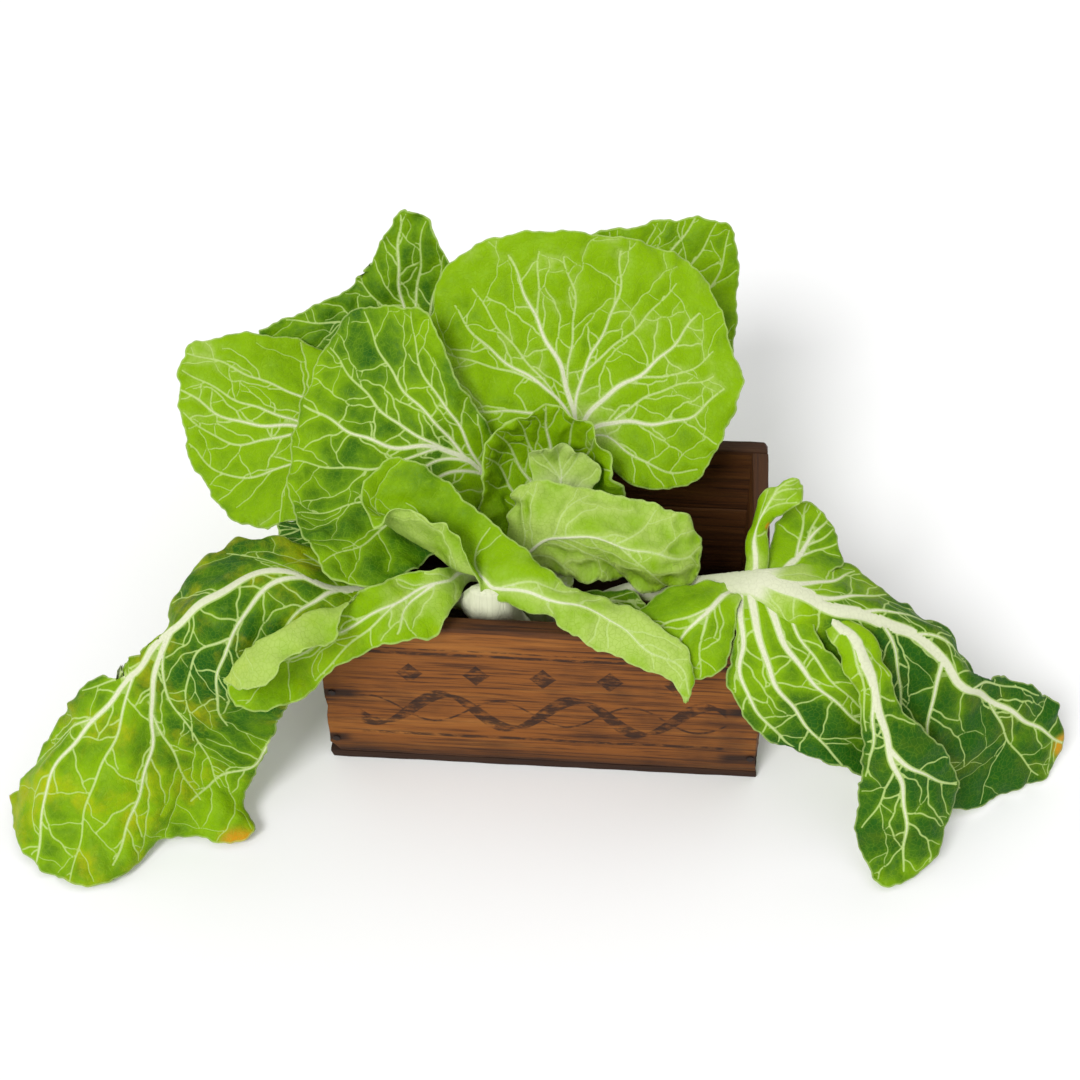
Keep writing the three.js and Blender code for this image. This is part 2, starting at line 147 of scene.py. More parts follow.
class FlatMap:
    """The leaf laid flat, with the way back from a flat point to the net's row and column."""

    COARSE = 6
    FINE = 30

    def __init__(self, net):
        self.net = net
        rows, columns = net.shape[0] - 1, net.shape[1] - 1
        grid = self._grid(rows, columns, self.COARSE)
        folded = surface(net, *grid).reshape(rows * self.COARSE + 1, columns * self.COARSE + 1, 3)
        self.flat = flatten(folded)
        self.rows, self.columns = self._grid(rows, columns, self.FINE)
        self.table = self.to_flat(self.rows, self.columns)
        shape = (rows * self.FINE + 1, columns * self.FINE + 1)
        shaped = self.table.reshape(*shape, 2)
        self.by_row = (np.gradient(shaped, axis=0) * self.FINE).reshape(-1, 2)
        self.by_column = (np.gradient(shaped, axis=1) * self.FINE).reshape(-1, 2)
        self.tree = tree_of(self.table)

    @staticmethod
    def _grid(rows, columns, steps):
        row = np.linspace(0, rows, rows * steps + 1)
        column = np.linspace(0, columns, columns * steps + 1)
        mesh = np.meshgrid(row, column, indexing="ij")
        return mesh[0].ravel(), mesh[1].ravel()

    def to_flat(self, row, column):
        return surface(self.flat, np.asarray(row) * self.COARSE, np.asarray(column) * self.COARSE)

    def to_net(self, points):
        """(row, column, distance to the leaf) of each flat point."""
        near, away = nearest(self.tree, points)
        gap = points - self.table[near]
        a, b = self.by_row[near], self.by_column[near]
        size = a[:, 0] * b[:, 1] - a[:, 1] * b[:, 0]
        size = np.where(np.abs(size) < 1e-6, 1e-6, size)
        row = (gap[:, 0] * b[:, 1] - gap[:, 1] * b[:, 0]) / size
        column = (a[:, 0] * gap[:, 1] - a[:, 1] * gap[:, 0]) / size
        row = self.rows[near] + np.clip(row, -STRAY, STRAY)
        column = self.columns[near] + np.clip(column, -STRAY, STRAY)
        return row, column, away


def tree_of(points):
    tree = kdtree.KDTree(len(points))
    for number, (x, y) in enumerate(points):
        tree.insert((x, y, 0), number)
    tree.balance()
    return tree


def nearest(tree, points):
    found = [tree.find((x, y, 0)) for x, y in points]
    return np.array([f[1] for f in found]), np.array([f[2] for f in found])


def waves(points, length, seed):
    """A smooth random field between about -1 and 1 whose bumps are length apart."""
    chance = np.random.default_rng(seed)
    total = np.zeros(len(points))
    for _ in range(7):
        angle, phase = chance.uniform(0, 2 * math.pi, 2)
        pitch = 2 * math.pi / (length * chance.uniform(0.7, 1.6))
        total += np.sin(points @ np.array([math.cos(angle), math.sin(angle)]) * pitch + phase)
    return total / 3.2


def lattice(flat_map, pitch, chance):
    """Flat points spread over the leaf about pitch apart."""
    low, high = flat_map.table.min(0), flat_map.table.max(0)
    x = np.arange(low[0], high[0], pitch)
    y = np.arange(low[1], high[1], pitch * 0.87)
    grid = np.stack(np.meshgrid(x, y), -1)
    grid[1::2, :, 0] += pitch / 2
    points = grid.reshape(-1, 2) + chance.uniform(-0.28, 0.28, (grid.size // 2, 2)) * pitch
    row, column, away = flat_map.to_net(points)
    inside = (away < LEAF_REACH) & (row > 0) & (column > 0)
    inside &= (row < len(flat_map.net) - 1) & (column < flat_map.net.shape[1] - 1)
    return points[inside], row[inside]


# ------------------------------------------------------------------ veins

VEIN_STEP = 2.0
VEIN_ORDERS = ((54.0, 0.75, 90.0, 0.5), (44.0, 1.0, 46.0, 0.5))
LEAF_REACH = 3.2


def rib_points(flat_map, waypoints):
    """A rib's flat points, one step apart, through its waypoints in the net."""
    stops = np.array(waypoints, float)
    where = np.linspace(0, len(stops) - 1, 24 * (len(stops) - 1) + 1)
    curve = catmull(np.broadcast_to(stops, (len(where), *stops.shape)), where)
    flat = flat_map.to_flat(curve[:, 0], np.clip(curve[:, 1], 0, flat_map.net.shape[1] - 1))
    length = np.concatenate([[0], np.cumsum(np.linalg.norm(np.diff(flat, axis=0), axis=1))])
    steps = np.linspace(0, length[-1], max(2, int(length[-1] / VEIN_STEP)))
    return np.stack([np.interp(steps, length, flat[:, axis]) for axis in range(2)], -1)


def grow_veins(flat_map, ribs, margin_tree, chance):
    """The ribs, and veins that branch from them and stop where they meet another vein."""
    points, parents, widths, owner, runs = [], [], [], [], []
    for waypoints, wide, narrow in ribs:
        line = rib_points(flat_map, waypoints)
        taper = np.linspace(0, 1, len(line)) ** 0.8
        tangent = np.gradient(line, axis=0)
        tangent /= np.linalg.norm(tangent, axis=1, keepdims=True) + 1e-9
        sway = np.sin(np.arange(len(line)) * VEIN_STEP / 7 + chance.uniform(0, 6)) * np.minimum(taper, 0.5)
        line = line + np.stack([-tangent[:, 1], tangent[:, 0]], -1) * (1.9 * sway)[:, None]
        runs.append(list(range(len(points), len(points) + len(line))))
        for k, point in enumerate(line):
            parents.append(len(points) - 1 if k else -1)
            points.append(point)
            widths.append(wide + (narrow - wide) * taper[k])
            owner.append(len(runs) - 1)
    for spacing, angle, longest, share in VEIN_ORDERS:
        tips = sprouts(points, widths, runs, spacing, angle, share, chance)
        for step in range(int(longest / VEIN_STEP)):
            if not tips:
                break
            places = np.array(points)
            whose = np.array(owner)
            fresh = []
            for tip in tips:
                zigzag = 0.16 * math.sin(step * 0.8 + tip["root"][0])
                tip["heading"] += tip["turn"] + zigzag + chance.normal(0, 0.09)
                way = np.array([math.cos(tip["heading"]), math.sin(tip["heading"])])
                fresh.append(places[tip["last"]] + way * VEIN_STEP)
            away = flat_map.to_net(np.array(fresh))[2]
            rim = nearest(margin_tree, fresh)[1]
            kept = []
            for tip, place, off, edge in zip(tips, fresh, away, rim):
                if off > LEAF_REACH or edge < 1.8:
                    continue
                gap = np.linalg.norm(places - place, axis=1)
                own = (whose == tip["run"]) | (np.linalg.norm(places - tip["root"], axis=1) < 6.5)
                gap[own] = 99.0
                meets = gap.argmin()
                joins = gap[meets] < 2.3
                if step < 2 and joins:
                    continue
                if tip["run"] is None:
                    tip["run"] = len(runs)
                    runs.append([])
                runs[tip["run"]].append(len(points))
                points.append(places[meets] if joins else place)
                parents.append(tip["last"])
                widths.append(max(tip["width"] * (1 - 0.55 * step * VEIN_STEP / longest), 0.3))
                owner.append(tip["run"])
                tip["last"] = len(points) - 1
                if not joins:
                    kept.append(tip)
            tips = kept
    return np.array(points), np.array(parents), np.array(widths)


def sprouts(points, widths, runs, spacing, angle, share, chance):
    """Where side veins leave the runs, on alternate sides, and how they head."""
    tips = []
    for run in runs:
        side = chance.choice((-1, 1))
        place = chance.uniform(0.3, 1.0) * spacing
        while place < VEIN_STEP * (len(run) - 2):
            k = max(1, int(place / VEIN_STEP))
            along = points[run[k + 1]] - points[run[k - 1]]
            heading = math.atan2(along[1], along[0]) + side * angle * chance.uniform(0.8, 1.15)
            width = min(max(widths[run[k]] * share, 0.45), 1.5)
            tips.append(dict(last=run[k], root=points[run[k]], heading=heading, run=None, width=width,
                             turn=-side * 0.018 * chance.uniform(0.2, 1.6)))
            side = -side
            place += spacing * chance.uniform(0.35, 0.65)
    return tips


def vein_samples(points, parents, widths):
    """The veins as close rows of dots, each with its width."""
    child = np.where(parents >= 0)[0]
    parts, sizes = [points], [widths]
    for t in (0.25, 0.5, 0.75):
        parts.append(points[child] * (1 - t) + points[parents[child]] * t)
        sizes.append(widths[child] * (1 - t) + np.minimum(widths[parents[child]], widths[child] * 1.5) * t)
    return np.concatenate(parts), np.concatenate(sizes)


def vein_distance(samples, sizes, points):
    """How far each point is outside its nearest vein, and that vein's width and middle distance."""
    wide = sizes > 2.2
    fine_near, fine_gap = nearest(tree_of(samples[~wide]), points)
    outside = fine_gap - sizes[~wide][fine_near] / 2
    width = np.ones(len(points))
    middle = np.full(len(points), 99.0)
    if wide.any():
        tree = tree_of(samples[wide])
        for k, (x, y) in enumerate(points):
            for _, number, gap in tree.find_n((x, y, 0), 6):
                size = sizes[wide][number]
                if gap - size / 2 < middle[k] - width[k] / 2:
                    width[k], middle[k] = size, gap
        outside = np.minimum(outside, middle - width / 2)
    return outside, width, middle


# ------------------------------------------------------------------ a leaf's mesh

FILL_PITCH = 3.0
MARGIN_STEP = 1.7


def margin_of(flat_map, stalk_end, seed):
    """The leaf's outline laid flat, rounded and finely scalloped round the blade."""
    rows, columns = flat_map.net.shape[0] - 1, flat_map.net.shape[1] - 1
    up = np.linspace(0, rows, rows * 40)
    across = np.linspace(0, columns, columns * 40)
    row = np.concatenate([up, np.full(len(across), rows), up[::-1], np.zeros(len(across))])
    column = np.concatenate([np.zeros(len(up)), across, np.full(len(up), columns), across[::-1]])
    loop = flat_map.to_flat(row, column)[::-1]
    row = row[::-1]
    length = np.concatenate([[0], np.cumsum(np.linalg.norm(np.diff(loop, axis=0), axis=1))])
    steps = np.arange(0, length[-1] - MARGIN_STEP / 2, MARGIN_STEP)
    loop = np.stack([np.interp(steps, length, loop[:, axis]) for axis in range(2)], -1)
    on_blade = np.clip((np.interp(steps, length, row) - stalk_end) * 2, 0, 1)[:, None]
    for _ in range(26):
        smooth = (np.roll(loop, 1, 0) + np.roll(loop, -1, 0)) / 2
        loop = loop + (smooth - loop) * 0.5 * on_blade
    tangent = np.roll(loop, -1, 0) - np.roll(loop, 1, 0)
    outward = np.stack([tangent[:, 1], -tangent[:, 0]], -1)
    outward /= np.linalg.norm(outward, axis=1, keepdims=True) + 1e-9
    chance = np.random.default_rng(seed)
    scallop = np.zeros(len(steps))
    for pitch, size in ((14, 0.45), (8.5, 0.22), (38, 1.1)):
        turn = 2 * math.pi * round(steps[-1] / pitch) / steps[-1]
        scallop += size * np.sin(steps * turn + chance.uniform(0, 6) + 1.3 * np.sin(steps / 23))
    return loop + outward * scallop[:, None] * on_blade, steps


def tip_fields(flat_map, flat, tips):
    """How much each flat point belongs to a browning tip; tips are rows, columns and radii."""
    total = np.zeros(len(flat))
    for row, column, radius in tips:
        centre = flat_map.to_flat([row], [column])[0]
        total += np.exp(-(np.linalg.norm(flat - centre, axis=1) / radius) ** 2)
    return total


def blade_mesh(spec, seed):
    """The vertices, faces and attributes of one blade, upper side first."""
    chance = np.random.default_rng(seed)
    blade_rows = [np.array(row, float) for row in spec["rows"]]
    net = np.array(stalk_rows(spec["stalk"], blade_rows[0]) + blade_rows)
    flat_map = FlatMap(net)
    stalk_end = len(spec["stalk"])
    margin, margin_length = margin_of(flat_map, stalk_end, seed)
    margin_tree = tree_of(margin)
    points, parents, widths = grow_veins(flat_map, spec["ribs"], margin_tree, chance)
    samples, sizes = vein_samples(points, parents, widths)

    places = [points]
    child = np.where((parents >= 0) & (widths > 2.2))[0]
    along = points[child] - points[parents[child]]
    along /= np.linalg.norm(along, axis=1, keepdims=True) + 1e-9
    side = np.stack([-along[:, 1], along[:, 0]], -1) * widths[child, None]
    for share in (-0.5, -0.38, -0.2, 0.2, 0.38, 0.5):
        places.append(points[child] + side * share)
    child = np.where((parents >= 0) & (widths <= 2.2))[0]
    along = points[child] - points[parents[child]]
    along /= np.linalg.norm(along, axis=1, keepdims=True) + 1e-9
    flank = np.stack([-along[:, 1], along[:, 0]], -1) * (0.8 + widths[child, None] / 2)
    flanks = np.concatenate([points[child] + flank, points[child] - flank])
    flanks = flanks[nearest(tree_of(points), flanks)[1] > 0.7]
    places.append(flanks)
    lines = np.concatenate(places)
    cells = np.unique(np.round(lines / 0.9).astype(int), axis=0, return_index=True)[1]
    lines = lines[np.sort(cells)]
    fill, _ = lattice(flat_map, FILL_PITCH, chance)
    fill = fill[nearest(tree_of(lines), fill)[1] > 1.6]
    inner = np.concatenate([lines, fill])
    inner = inner[nearest(margin_tree, inner)[1] > 1.1]
    row, column, away = flat_map.to_net(inner)
    inner = inner[away < LEAF_REACH]

    corners = np.concatenate([margin, inner])
    ring = [(k, (k + 1) % len(margin)) for k in range(len(margin))]
    cut = geometry.delaunay_2d_cdt([Vector(p) for p in corners], ring, [], 1, 1e-4)
    flat = np.array([tuple(p) for p in cut[0]])
    faces = np.array([f for f in cut[2] if len(f) == 3])
    used = np.unique(faces)
    renumber = np.zeros(len(flat), int)
    renumber[used] = np.arange(len(used))
    flat, faces = flat[used], renumber[faces]

    row, column, _ = flat_map.to_net(flat)
    step = 0.02
    middle = surface(net, row, column)
    by_row = surface(net, row + step, column) - surface(net, row - step, column)
    by_column = surface(net, row, column + step) - surface(net, row, column - step)
    normal = np.cross(by_column, by_row)
    normal /= np.linalg.norm(normal, axis=1, keepdims=True) + 1e-9
    normal *= spec["upper"]

    outside, width, centre = vein_distance(samples, sizes, flat)
    near, rim = nearest(margin_tree, flat)
    on_blade = np.clip(row - stalk_end + 0.6, 0, 1)
    blister = 2.1 * (1 - np.exp(-(np.maximum(outside, 0) / 4.5) ** 2)) * (1 + 0.6 * waves(flat, 24, seed))
    roll = 2.4 * waves(flat, 60, seed + 1)
    frill = np.sin(margin_length[near] / 6.0 + 2.2 * waves(flat, 70, seed + 2)) * np.exp(-rim / 9)
    frill *= 2.0 * (1 + 0.7 * waves(flat, 90, seed + 3))
    lift = (blister * np.clip(rim / 6, 0, 1) + roll + frill) * on_blade * spec["ruffle"]
    middle += normal * lift[:, None]

    rib = 0.28 * width * np.sqrt(np.clip(1 - (2 * centre / width) ** 2, 0, 1))
    fine = 0.35 * np.clip(-outside, 0, 1)
    halves = [point[4] for point in spec["stalk"]] + [0.0]
    thick = np.interp(row, np.arange(len(halves)), halves) if spec["stalk"] else np.zeros(len(row))
    share = 2 * column / (net.shape[1] - 1) - 1
    thick *= np.sqrt(np.clip(1 - share ** 2, 0, 1))
    sheet = 0.35
    upper = middle + normal * (sheet + np.maximum(thick, 0.3 * rib))[:, None]
    under = middle - normal * (sheet + np.maximum(thick, rib) + fine)[:, None]

    if spec["upper"] < 0:
        faces = faces[:, ::-1]
    edges = np.concatenate([faces[:, [0, 1]], faces[:, [1, 2]], faces[:, [2, 0]]])
    keys = np.sort(edges, axis=1)
    _, index, count = np.unique(keys, axis=0, return_index=True, return_counts=True)
    border = edges[index[count == 1]]
    size = len(flat)
    walls = np.concatenate([
        np.stack([border[:, 1], border[:, 0], border[:, 0] + size], 1),
        np.stack([border[:, 1], border[:, 0] + size, border[:, 1] + size], 1),
    ])
    vertices = np.concatenate([upper, under])
    vertices[:, 2] = np.maximum(vertices[:, 2], 0.4)
    tone = np.interp(row, np.arange(len(spec["tone"])), spec["tone"])
    fields = {
        "vein": np.concatenate([outside, outside]),
        "rim": np.concatenate([rim, rim]),
        "tone": np.concatenate([tone, np.maximum(tone, spec["under"])]),
        "yellow": np.concatenate([on_blade, on_blade]) * spec["yellow"],
        "spread": np.concatenate([flat, flat]) + seed * 400,
        "tips": np.tile(tip_fields(flat_map, flat, spec["tips"]), 2),
    }
    return vertices * MM, np.concatenate([faces, faces[:, ::-1] + size, walls]), fields


def blade(rows, stalk=(), ribs=(), mid=None, leave=0.0, fan=(), pairs=(), tone=(0.5,),
          under=0.72, yellow=0.0, upper=1, ruffle=1.0, tips=()):
    """One blade of a leaf. fan and pairs add side ribs to the midrib."""
    ribs = list(ribs)
    last = len(stalk) + len(rows) - 1
    columns = len(rows[0]) - 1
    middle = columns / 2
    if mid:
        ribs.append(([(0, middle), (last / 2, middle), (last - 0.05, middle)], *mid))
    for column in fan:
        inner = 1 - abs(column - middle) / middle
        start = leave + 0.5 * inner * (last - leave)
        way = [(start, middle), (start + 0.42 * (last - start), middle + 0.6 * (column - middle)),
               (last - 0.06, column)]
        ribs.append((way, mid[0] * (0.42 - 0.14 * inner), 0.9))
    for start in pairs:
        for column in (0.12, columns - 0.12):
            way = [(start, middle), (start + 0.6, (middle + column) / 2), (start + 1.1, column)]
            ribs.append((way, mid[0] * 0.3, 0.9))
    return dict(rows=rows, stalk=stalk, ribs=ribs, tone=tone, under=under, yellow=yellow,
                upper=upper, ruffle=ruffle, tips=tips)
LEAVES = {
    "back_centre_leaf": [
        blade(
            stalk=[(5, 15, 100, 7, 5), (15, 50, 150, 8, 5), (20, 70, 190, 9, 4)],
            rows=[
                ((-35, 65, 205), (-10, 85, 225), (10, 95, 225), (45, 85, 220), (70, 40, 180)),
                ((-80, 70, 225), (-65, 120, 260), (0, 130, 270), (80, 130, 260), (120, 45, 190)),
                ((-115, 130, 260), (-95, 170, 310), (-15, 175, 340), (105, 185, 305), (155, 100, 245)),
            ],
            tone=(0.9, 0.9, 0.8, 0.55, 0.52, 0.6),
            ribs=[
                ([(0, 2), (1.8, 2), (3.2, 1.95), (4.1, 1.75), (4.8, 1.62)], 14, 1.6),
                ([(3.2, 1.95), (4.2, 2.15), (4.75, 2.1)], 3, 1),
                ([(4.1, 1.75), (4.8, 1.9)], 2.2, 1),
                ([(2, 2), (2.9, 1.6), (3.5, 1.2), (4.6, 0.8)], 7, 1.3),
                ([(3.3, 1.3), (4, 0.7), (4.6, 0.25)], 2.6, 1),
                ([(3, 1.5), (3.9, 1.35), (4.6, 1.15)], 2.6, 1),
                ([(2.5, 2), (3.4, 2.25), (4.3, 2.5), (4.85, 2.5)], 5, 1.3),
                ([(3.4, 2.25), (4, 2.7), (4.7, 2.95)], 2.6, 1),
                ([(2, 2), (2.8, 2.5), (3.6, 3), (4.7, 3.25)], 8, 1.5),
                ([(3.4, 2.9), (4, 3.3), (4.7, 3.55)], 2.6, 1),
                ([(1.9, 2), (2.6, 2.8), (3.4, 3.4), (4.7, 3.8)], 7.5, 1.5),
                ([(3, 3.1), (3.8, 3.3), (4.6, 3.65)], 2.6, 1),
                ([(1.9, 2), (2.5, 3), (3.2, 3.7), (4, 3.95)], 4.5, 1.1),
                ([(1.9, 2), (2.6, 1.2), (3.4, 0.4), (4.2, 0.1)], 6, 1.3),
            ],
        ),
    ],
    "back_right_leaf": [
        blade(
            stalk=[(15, 30, 90, 7, 5), (30, 80, 165, 8, 4), (50, 135, 185, 9, 3)],
            rows=[
                ((15, 210, 195), (75, 215, 205), (135, 180, 175)),
                ((5, 245, 245), (85, 250, 255), (150, 230, 215)),
                ((15, 255, 280), (110, 270, 290), (145, 270, 280)),
            ],
            mid=(12, 1.6),
            leave=2.3,
            fan=(0.2, 0.6, 1.4, 1.8),
            tone=(0.9, 0.9, 0.8, 0.42, 0.42, 0.42),
        ),
    ],
    "upper_left_leaf": [
        blade(
            stalk=[(-12, 30, 90, 7, 5), (-50, 85, 165, 8, 4), (-95, 145, 185, 9, 3)],
            rows=[
                ((-180, 150, 188), (-150, 178, 198), (-130, 180, 205), (-115, 180, 210), (-100, 180, 205)),
                ((-230, 165, 195), (-185, 195, 230), (-145, 200, 255), (-120, 195, 260), (-95, 185, 255)),
                ((-275, 185, 210), (-190, 205, 250), (-145, 220, 320), (-120, 210, 320), (-95, 185, 290)),
            ],
            mid=(12, 1.6),
            leave=2.3,
            fan=(0.3, 1.1, 2.9, 3.7),
            tone=(0.9, 0.9, 0.8, 0.25, 0.22, 0.3),
        ),
    ],
    "far_left_leaf": [
        blade(
            stalk=[(-25, 20, 85, 7, 5), (-85, 65, 150, 8, 4), (-150, 85, 178, 9, 3)],
            rows=[
                ((-175, 15, 171), (-195, 95, 180), (-205, 165, 205)),
                ((-265, 25, 128), (-280, 105, 175), (-275, 170, 220)),
                ((-320, 80, 150), (-335, 130, 190), (-330, 160, 215)),
            ],
            mid=(12, 1.6),
            leave=2.3,
            fan=(0.25, 0.65, 1.35, 1.75),
            tone=(0.9, 0.9, 0.8, 0.5, 0.5, 0.55),
        ),
    ],
    "left_leaf": [
        blade(
            stalk=[(-18, 18, 95, 7, 5), (-38, 35, 145, 8, 5), (-50, 40, 175, 9, 4)],
            rows=[
                ((-75, -25, 182), (-95, 10, 200), (-90, 38, 215), (-78, 50, 236), (-56, 56, 226)),
                ((-120, -98, 196), (-150, -20, 200), (-145, 35, 220), (-130, 80, 255), (-80, 70, 260)),
                ((-170, -108, 208), (-215, -10, 198), (-215, 75, 225), (-180, 135, 275), (-110, 105, 310)),
            ],
            mid=(13, 1.6),
            leave=2,
            fan=(0.2, 0.8, 1.4, 2.6, 3.2, 3.8),
            tone=(0.9, 0.9, 0.7, 0.24, 0.26, 0.36),
        ),
    ],
    "heart_hood_leaf": [
        blade(
            stalk=[(-5, -5, 104, 8, 4), (-5, 0, 140, 16, 5)],
            rows=[
                ((-50, -10, 165), (-35, 10, 165), (-5, 25, 165), (20, 15, 165), (40, -5, 165)),
                ((-60, 5, 190), (-40, 40, 200), (-5, 55, 200), (30, 45, 195), (55, 10, 180)),
                ((-65, 15, 210), (-45, 40, 240), (-10, 50, 255), (30, 40, 240), (60, 20, 195)),
            ],
            mid=(12, 1.4),
            leave=1.4,
            fan=(0.4, 0.9, 1.4, 2.6, 3.1, 3.6),
            tone=(1, 0.9, 0.5, 0.4, 0.5),
            ruffle=1.8,
        ),
    ],
    "heart_inner_leaf": [
        blade(
            stalk=[(6, -16, 152, 6, 3)],
            rows=[
                ((-12, 4, 192), (5, 8, 192), (24, 4, 188)),
                ((-20, 20, 215), (5, 30, 215), (40, 25, 205)),
                ((-20, 25, 225), (0, 35, 230), (35, 30, 215)),
            ],
            mid=(6, 1),
            leave=1,
            fan=(0.4, 1.6),
            tone=(1, 0.9, 0.8, 0.85),
            ruffle=2.2,
        ),
    ],
    "heart_front_leaf": [
        blade(
            stalk=[(-15, -15, 100, 8, 5), (-25, -35, 150, 12, 5)],
            rows=[
                ((0, -50, 165), (-15, -45, 185), (-35, -20, 195)),
                ((35, -60, 170), (20, -50, 210), (-20, -10, 230)),
                ((75, -65, 165), (75, -60, 205), (45, -20, 230)),
                ((105, -66, 172), (110, -55, 195), (95, -25, 220)),
                ((120, -58, 173), (125, -38, 193), (115, -25, 205)),
            ],
            mid=(7, 1.2),
            pairs=(1.6, 2.6, 3.6),
            ruffle=1.7,
            tone=(1, 0.9, 0.75, 0.6, 0.62, 0.66, 0.7),
        ),
    ],
    "front_small_leaf": [
        blade(
            stalk=[(5, -15, 90, 6, 4)],
            rows=[
                ((30, -45, 140), (35, -55, 140), (35, -60, 135)),
                ((60, -50, 150), (62, -62, 150), (62, -70, 142)),
                ((78, -62, 156), (80, -70, 155), (78, -76, 148)),
            ],
            mid=(6, 1),
            pairs=(1.4, 2.2),
            tone=(0.6, 0.2, 0.2, 0.2),
        ),
    ],
    "left_small_leaf": [
        blade(
            stalk=[(-30, 5, 80, 6, 4), (-120, -20, 170, 7, 3)],
            rows=[
                ((-170, -15, 176), (-165, -35, 178), (-165, -50, 178)),
                ((-210, -10, 176), (-200, -30, 180), (-195, -50, 180)),
                ((-225, -20, 176), (-225, -30, 178), (-220, -40, 178)),
            ],
            mid=(6, 1),
            pairs=(2.4, 3.2),
            tone=(0.6, 0.4, 0.15, 0.15, 0.15),
            upper=-1,
        ),
    ],
    "left_drooping_leaf": [
        blade(
            stalk=[(-28, -8, 70, 7, 5), (-75, -36, 112, 8, 6), (-110, -72, 170, 10, 6)],
            rows=[
                ((-180, -50, 182), (-160, -95, 187), (-155, -105, 187), (-155, -112, 185), (-160, -120, 180)),
                ((-255, -55, 190), (-215, -100, 205), (-210, -120, 200), (-205, -135, 185),
                 (-205, -150, 165)),
                ((-295, -105, 175), (-255, -125, 195), (-245, -145, 185), (-235, -160, 160),
                 (-200, -155, 125)),
                ((-300, -140, 170), (-290, -140, 175), (-275, -155, 155), (-255, -165, 120),
                 (-210, -160, 90)),
                ((-330, -145, 140), (-320, -155, 140), (-300, -165, 115), (-260, -170, 85), (-225, -165, 55)),
                ((-380, -150, 95), (-350, -170, 105), (-310, -185, 80), (-275, -180, 55), (-240, -185, 25)),
                ((-420, -185, 35), (-390, -200, 60), (-325, -225, 40), (-285, -200, 35), (-230, -205, 10)),
                ((-440, -185, 10), (-400, -250, 5), (-340, -265, 5), (-300, -220, 10), (-240, -220, 5)),
            ],
            tips=[(10, 0, 9), (10, 4, 17)],
            tone=(0.9, 0.9, 0.9, 0.35, 0.25, 0.18, 0.18, 0.25, 0.34, 0.45, 0.4),
            upper=-1,
            yellow=0.9,
            ribs=[
                ([(0, 2), (2, 2), (3, 1.3), (4, 1), (6, 1), (8, 1), (10, 1)], 17, 2.2),
                ([(6, 1), (7, 1.7), (8, 2), (9.7, 2)], 7, 1.6),
                ([(3.6, 1.15), (4.6, 2.1), (5.6, 2.8), (6.6, 3.2)], 6, 1.4),
                ([(5, 2.3), (5.8, 2), (6.6, 2.4), (7.4, 2.7)], 2.4, 1),
                ([(3.1, 1.3), (3.5, 2.6), (4, 3.5)], 6, 1.6),
                ([(2.6, 1.7), (2.9, 3), (3.1, 3.9)], 4, 1.2),
                ([(7.3, 1.8), (8.1, 2.6), (8.9, 3.2)], 3, 1),
                ([(6.4, 1.4), (7.2, 2.6), (8.2, 3.5)], 3, 1),
                ([(2.6, 1.6), (3, 0.8), (3.3, 0.25)], 6, 1.4),
                ([(3.4, 1.1), (3.9, 0.6), (4.2, 0.2)], 3, 1),
                ([(7.1, 1), (7.5, 0.5), (7.8, 0.1)], 3, 1),
                ([(8.1, 1), (8.5, 0.5), (8.8, 0.1)], 3, 1),
                ([(7, 1), (8, 1.4), (9, 1.5), (10, 1.5)], 3.5, 1),
                ([(6.5, 4), (7.2, 3.9), (8, 3.4), (9, 3.1)], 3.5, 1.4),
            ],
        ),
    ],
    "front_left_leaf": [
        blade(
            stalk=[(-32, -6, 95, 6, 4), (-64, -46, 156, 7, 4)],
            rows=[
                ((-70, -105, 182), (-75, -95, 188), (-80, -85, 192), (-82, -80, 196)),
                ((-85, -135, 175), (-105, -115, 185), (-105, -95, 195), (-105, -90, 200)),
                ((-120, -145, 175), (-130, -130, 185), (-140, -120, 198), (-142, -118, 204)),
                ((-155, -155, 160), (-160, -145, 175), (-168, -135, 202), (-160, -170, 202)),
                ((-185, -180, 145), (-190, -160, 160), (-200, -155, 200), (-185, -180, 200)),
                ((-215, -190, 140), (-220, -175, 155), (-225, -165, 185), (-210, -200, 180)),
                ((-235, -185, 140), (-240, -180, 150), (-245, -180, 165), (-230, -190, 165)),
            ],
            tone=(1, 0.9, 0.75, 0.55, 0.5, 0.45, 0.5, 0.5, 0.5),
            under=0.8,
            yellow=0.25,
            ribs=[
                ([(0, 1.5), (2, 1.6), (3, 1.4), (5, 1.2), (8, 1.4)], 8, 1.2),
                ([(2.4, 1.5), (3.2, 0.9), (3.7, 0.3)], 4.5, 1.6),
                ([(3.1, 1.4), (4.5, 0.7), (5.6, 0.2)], 3, 1),
            ],
        ),
    ],
    "front_tongue_leaf": [
        blade(
            rows=[
                ((-150, -25, 235), (-150, -40, 225), (-135, -75, 230)),
                ((-125, -5, 245), (-125, -45, 205), (-115, -65, 245)),
                ((-90, -15, 235), (-95, -60, 195), (-85, -75, 240)),
                ((-55, -45, 225), (-70, -75, 190), (-55, -95, 220)),
                ((-20, -70, 215), (-35, -90, 205), (-45, -100, 185)),
                ((15, -95, 200), (5, -110, 200), (0, -115, 185)),
                ((45, -95, 190), (45, -115, 190), (35, -135, 175)),
                ((90, -122, 188), (80, -138, 178), (75, -148, 168)),
                ((115, -140, 178), (110, -150, 168), (105, -158, 158)),
                ((120, -153, 158), (116, -163, 153), (115, -173, 148)),
            ],
            tone=(0.42, 0.38, 0.42, 0.5, 0.62, 0.74, 0.8, 0.8, 0.74, 0.7),
            under=0.8,
            ribs=[
                ([(4, 1.6), (5, 1.1), (7, 1), (9, 1)], 5, 1.2),
                ([(4, 1.6), (3, 1), (1.5, 1), (0.2, 1)], 5, 1),
